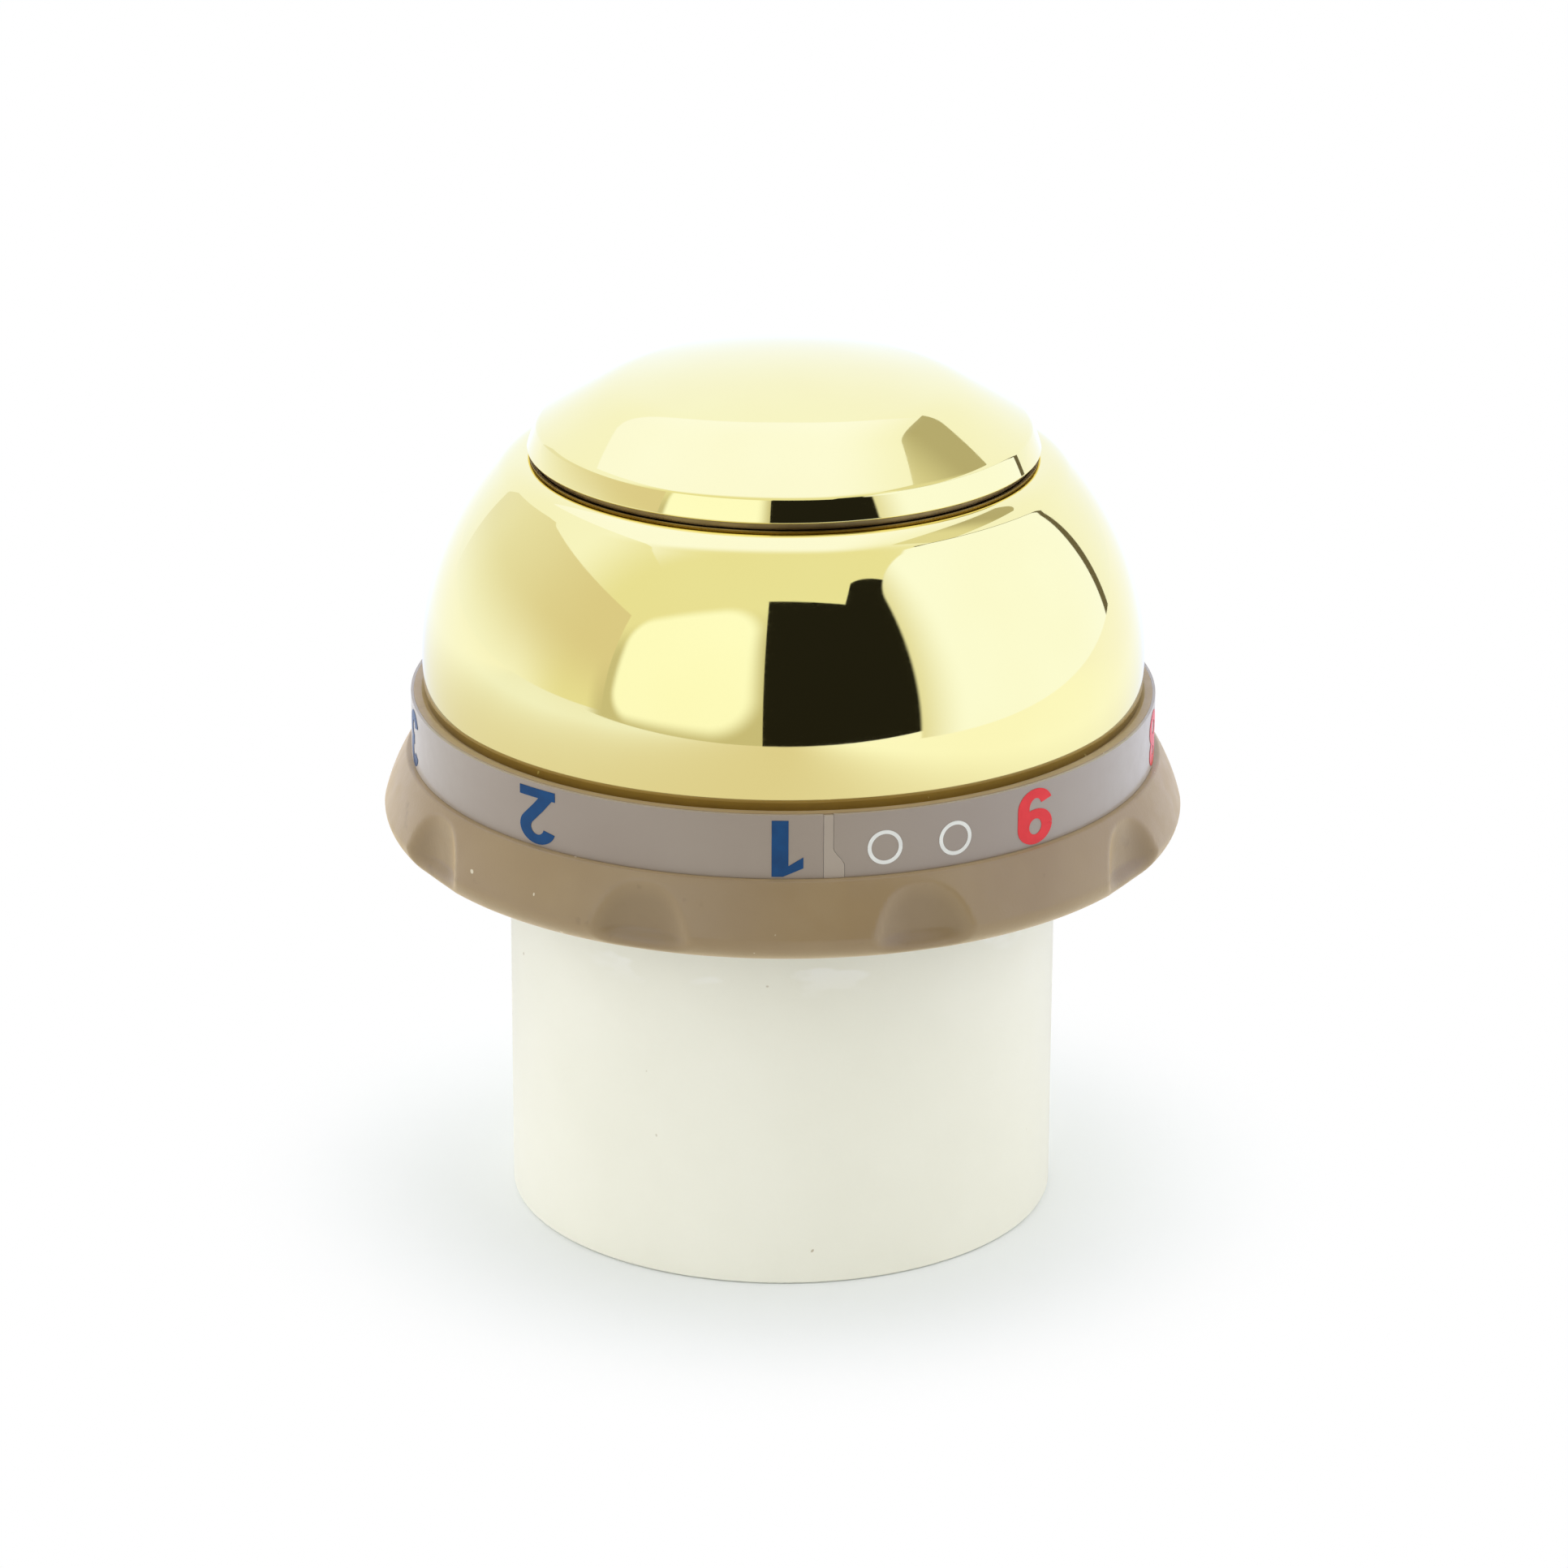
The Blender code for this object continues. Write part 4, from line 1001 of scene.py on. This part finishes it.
def glow(name, shown, lit, far_shown=None, far_lit=None, depths=None):
    """A light-giving material: the colour metal shows and the strength of its light on the rest.

    With depths both run to the far values along Y between them.
    """
    made = Nodes(name, 0.5)
    made.tree.nodes.remove(made.shader)
    light = made.add("ShaderNodeEmission")
    made.link(light.outputs["Emission"], made.surface)
    plain = grey(lit)
    mirrored = (*shown, 1)
    if depths:
        run = made.ramp(made.place("Y"), *depths, smooth=True)
        plain = made.blend(run, plain, grey(far_lit))
        mirrored = made.blend(run, mirrored, (*far_shown, 1))
    by_metal = made.add("ShaderNodeLightPath").outputs["Is Glossy Ray"]
    made.link(made.blend(by_metal, plain, mirrored), light.inputs["Color"])
    return made


def sideways(bearing):
    """Direction from left to right along an upright card at a bearing."""
    return (cos(radians(bearing)), sin(radians(bearing)), 0)


def feathered(light, bearing, spans, levels, corner, fade, rise=UP):
    """Round a card's corners and let its rim fade away, between spans across it and levels up it."""
    middle = (sum(spans) / 2, sum(levels) / 2, 0)
    core = ((spans[1] - spans[0]) / 2 - corner, (levels[1] - levels[0]) / 2 - corner, 0)
    place = light.add("ShaderNodeCombineXYZ")
    light.link(light.vector("DOT_PRODUCT", light.coords, sideways(bearing), "Value"), place.inputs["X"])
    light.link(light.vector("DOT_PRODUCT", light.coords, rise, "Value"), place.inputs["Y"])
    off_middle = light.vector("ABSOLUTE", light.vector("SUBTRACT", place.outputs["Vector"], middle))
    past_core = light.vector("MAXIMUM", light.vector("SUBTRACT", off_middle, core))
    rim = light.ramp(light.vector("LENGTH", past_core, result="Value"), corner - fade, corner, smooth=True)
    glowing = light.tree.nodes["Emission"].outputs["Emission"]
    light.mix_surface(rim, glowing, light.add("ShaderNodeBsdfTransparent").outputs["BSDF"])


def staged(name, bm, light):
    """A studio piece that shows in reflections and not to the camera."""
    made = add_object(name, bm)
    made.data.materials.append(light.material)
    made.visible_camera = False


def tent(name, light):
    """A dome of light round the object, from a low elevation up to the zenith."""
    bm = bmesh.new()
    lines = []
    for i in range(TENT_ROWS):
        lift = radians(TENT_LOW + (90 - TENT_LOW) * i / TENT_ROWS)
        flat = TENT_RADIUS * cos(lift)
        line = []
        for j in range(TENT_COLUMNS):
            turn = 2 * pi * j / TENT_COLUMNS
            line.append(bm.verts.new((flat * sin(turn), -flat * cos(turn), TENT_RADIUS * sin(lift))))
        lines.append(line)
    for i in range(TENT_ROWS - 1):
        for j in range(TENT_COLUMNS):
            k = (j + 1) % TENT_COLUMNS
            bm.faces.new([lines[i][j], lines[i][k], lines[i + 1][k], lines[i + 1][j]])
    bm.faces.new(lines[-1])
    staged(name, bm, light)


def panel(name, corners, light):
    """A flat studio panel between corners in metres."""
    bm = bmesh.new()
    bm.faces.new([bm.verts.new(corner) for corner in corners])
    staged(name, bm, light)


def card(name, bearing, distance, left, right, height, light):
    """An upright card at a bearing, spanning left to right of it, all in metres."""
    turn = radians(bearing)
    middle = Vector((sin(turn), -cos(turn), 0)) * distance
    low = Vector((0, 0, CARD_FOOT))
    high = Vector((0, 0, height))
    start = middle + Vector(sideways(bearing)) * left
    end = middle + Vector(sideways(bearing)) * right
    panel(name, [start + low, end + low, end + high, start + high], light)


def ceiling(name, left, right, front, back, height, light):
    """A level card overhead, all in metres."""
    corners = [(left, front, height), (right, front, height), (right, back, height), (left, back, height)]
    panel(name, corners, light)


tent_light = glow(
    "tent_light",
    shown=(0.87, 0.92, 0.84),
    lit=0.95,
    far_shown=(1.0, 1.12, 1.5),
    far_lit=1.1,
    depths=(-0.55, 0.15),
)
tent("tent", tent_light)

ceiling_light = glow("ceiling_light", shown=(1.05, 1.19, 1.85), lit=1.25)
feathered(
    ceiling_light,
    FRONT_BEARING,
    spans=(-2.0, 0.5),
    levels=(-0.45, 2.0),
    corner=0.36,
    fade=0.36,
    rise=BACK,
)
ceiling("ceiling_card", left=-0.7, right=0.5, front=-0.45, back=1.05, height=1.0, light=ceiling_light)
gap_light = glow(
    "ceiling_gap",
    shown=(0.8, 0.84, 0.8),
    lit=0.85,
    far_shown=(0.5, 0.5, 0.44),
    far_lit=0.85,
    depths=(0.2, 0.7),
)
ceiling("ceiling_gap", left=0.45, right=0.86, front=-0.1, back=1.2, height=1.01, light=gap_light)

front_light = glow("front_light", shown=(1.07, 1.21, 1.5), lit=1.75)
feathered(
    front_light,
    FRONT_BEARING,
    spans=(-0.588, -0.035),
    levels=(-0.005, 0.478),
    corner=0.14,
    fade=0.055,
)
card("front_card", FRONT_BEARING, FRONT_DISTANCE, -0.608, OPENING_LEFT, height=0.476, light=front_light)
surround = glow("front_surround", shown=(0.62, 0.63, 0.56), lit=0.9)
feathered(surround, FRONT_BEARING, spans=(-0.82, 0.3), levels=(-0.5, 0.474), corner=0.25, fade=0.2)
card("front_surround", FRONT_BEARING, SURROUND_DISTANCE, -0.82, OPENING_LEFT, height=0.474, light=surround)
opening_shade = glow("dark_card", shown=DARK, lit=DARK[0])
card("front_opening", FRONT_BEARING, FRONT_DISTANCE, OPENING_LEFT, 0.40, height=0.49, light=opening_shade)
notch_shade = glow("notch_shade", shown=DARK, lit=DARK[0])
feathered(notch_shade, FRONT_BEARING, spans=(0.19, 1.0), levels=(0.0, 0.74), corner=0.25, fade=0.005)
notch = [(0.19, 0.48), (0.45, 0.48), (0.45, 0.74), (0.28, 0.74)]
panel("front_notch", [(x, NOTCH_DEPTH, z) for x, z in notch], notch_shade)

right_light = glow(
    "right_light",
    shown=(0.8, 0.83, 0.78),
    lit=1.5,
    far_shown=(1.05, 1.21, 1.85),
    far_lit=1.5,
    depths=(-0.3, -0.19),
)
feathered(right_light, RIGHT_BEARING, spans=(-0.09, 1.05), levels=(-0.5, 0.54), corner=0.16, fade=0.01)
card("right_card", RIGHT_BEARING, RIGHT_DISTANCE, -0.09, 1.05, height=0.54, light=right_light)
rim_shade = glow("rim_shade", shown=(0.15, 0.14, 0.12), lit=0.15)
feathered(rim_shade, RIGHT_BEARING, spans=(-0.3, 1.3), levels=(-0.5, 0.556), corner=0.3, fade=0.01)
card("right_card_rim", RIGHT_BEARING, RIM_DISTANCE, 0.1, 1.3, height=0.556, light=rim_shade)

left_light = glow(
    "left_light",
    shown=(0.76, 0.74, 0.68),
    lit=1.0,
    far_shown=(0.88, 0.95, 1.1),
    far_lit=1.1,
    depths=(-0.2, 0.4),
)
feathered(left_light, LEFT_BEARING, spans=(-1.5, 1.5), levels=(0.0, 1.5), corner=0.2, fade=0.2)
card("left_card", LEFT_BEARING, LEFT_DISTANCE, -0.57, 0.22, height=0.33, light=left_light)

# Floor: the camera sees white away from the object, and metal sees it brighten to both sides and the back
FLOOR_RADIUS = 3.0
FLOOR_SHADOW = (0.024, 0.047)
FLOOR_DROP = -0.00005
floor_bm = bmesh.new()
bmesh.ops.create_circle(floor_bm, cap_ends=True, segments=96, radius=FLOOR_RADIUS)
floor = add_object("floor", floor_bm)
floor_look = Nodes("floor", 0.7)
floor_look.shader.inputs["Base Color"].default_value = (0.945, 0.975, 0.985, 1)
floor_look.shader.inputs["Specular IOR Level"].default_value = 0.2
floor_paths = floor_look.add("ShaderNodeLightPath")
by_camera = floor_paths.outputs["Is Camera Ray"]
by_metal = floor_paths.outputs["Is Glossy Ray"]
to_right = floor_look.ramp(floor_look.place("X"), 0.0, 0.16, smooth=True)
to_left = floor_look.ramp(floor_look.place("X"), -0.42, 0.0, 1.0, 0.0, smooth=True)
to_back = floor_look.ramp(floor_look.place("Y"), 0.03, 0.2, smooth=True)
mirrored = floor_look.blend(to_right, grey(0.79), (1.05, 1.17, 1.5, 1))
mirrored = floor_look.blend(to_left, mirrored, (0.95, 1.07, 1.45, 1))
mirrored = floor_look.blend(to_back, mirrored, (1.02, 1.13, 1.5, 1))
floor_light = floor_look.add("ShaderNodeEmission")
floor_look.link(floor_look.blend(by_camera, mirrored, grey(1)), floor_light.inputs["Color"])
spread = floor_look.vector("LENGTH", floor_look.coords, result="Value")
past_shadow = floor_look.ramp(spread, *FLOOR_SHADOW, smooth=True)
seen_bright = floor_look.math("MULTIPLY", floor_look.math("MAXIMUM", by_camera, by_metal), past_shadow)
floor_look.mix_surface(seen_bright, floor_look.shader.outputs["BSDF"], floor_light.outputs["Emission"])
floor.data.materials.append(floor_look.material)
floor.location.z = FLOOR_DROP

world = bpy.data.worlds.new("white_surround")
scene.world = world
world.use_nodes = True
world.node_tree.nodes["Background"].inputs["Color"].default_value = (1, 1, 1, 1)
world.node_tree.nodes["Background"].inputs["Strength"].default_value = 1.0

# Camera at the photograph's place: 20.5 degrees above, half a metre away
CAMERA_DISTANCE = 499.0
CAMERA_ELEVATION = 20.5
CAMERA_TARGET = 33.74
CAMERA_ASIDE = 0.1
CAMERA_ROLL = 0.25
FOCAL_PIXELS = 7700.0
FRAME_PIXELS = 1932.0
SENSOR_WIDTH = 36.0
camera_data = bpy.data.cameras.new("camera")
camera_data.sensor_width = SENSOR_WIDTH
camera_data.lens = SENSOR_WIDTH * FOCAL_PIXELS / FRAME_PIXELS
camera_data.clip_start = 0.01
camera_data.clip_end = 20.0
camera = bpy.data.objects.new("camera", camera_data)
scene.collection.objects.link(camera)
rise = radians(CAMERA_ELEVATION)
target = Vector((CAMERA_ASIDE, 0, CAMERA_TARGET)) * MM
away = Vector((0, -cos(rise), sin(rise))) * CAMERA_DISTANCE * MM
aim = (-away).to_track_quat("-Z", "Y").to_matrix().to_4x4()
camera.matrix_world = Matrix.Translation(target + away) @ aim @ Matrix.Rotation(radians(CAMERA_ROLL), 4, "Z")
scene.camera = camera
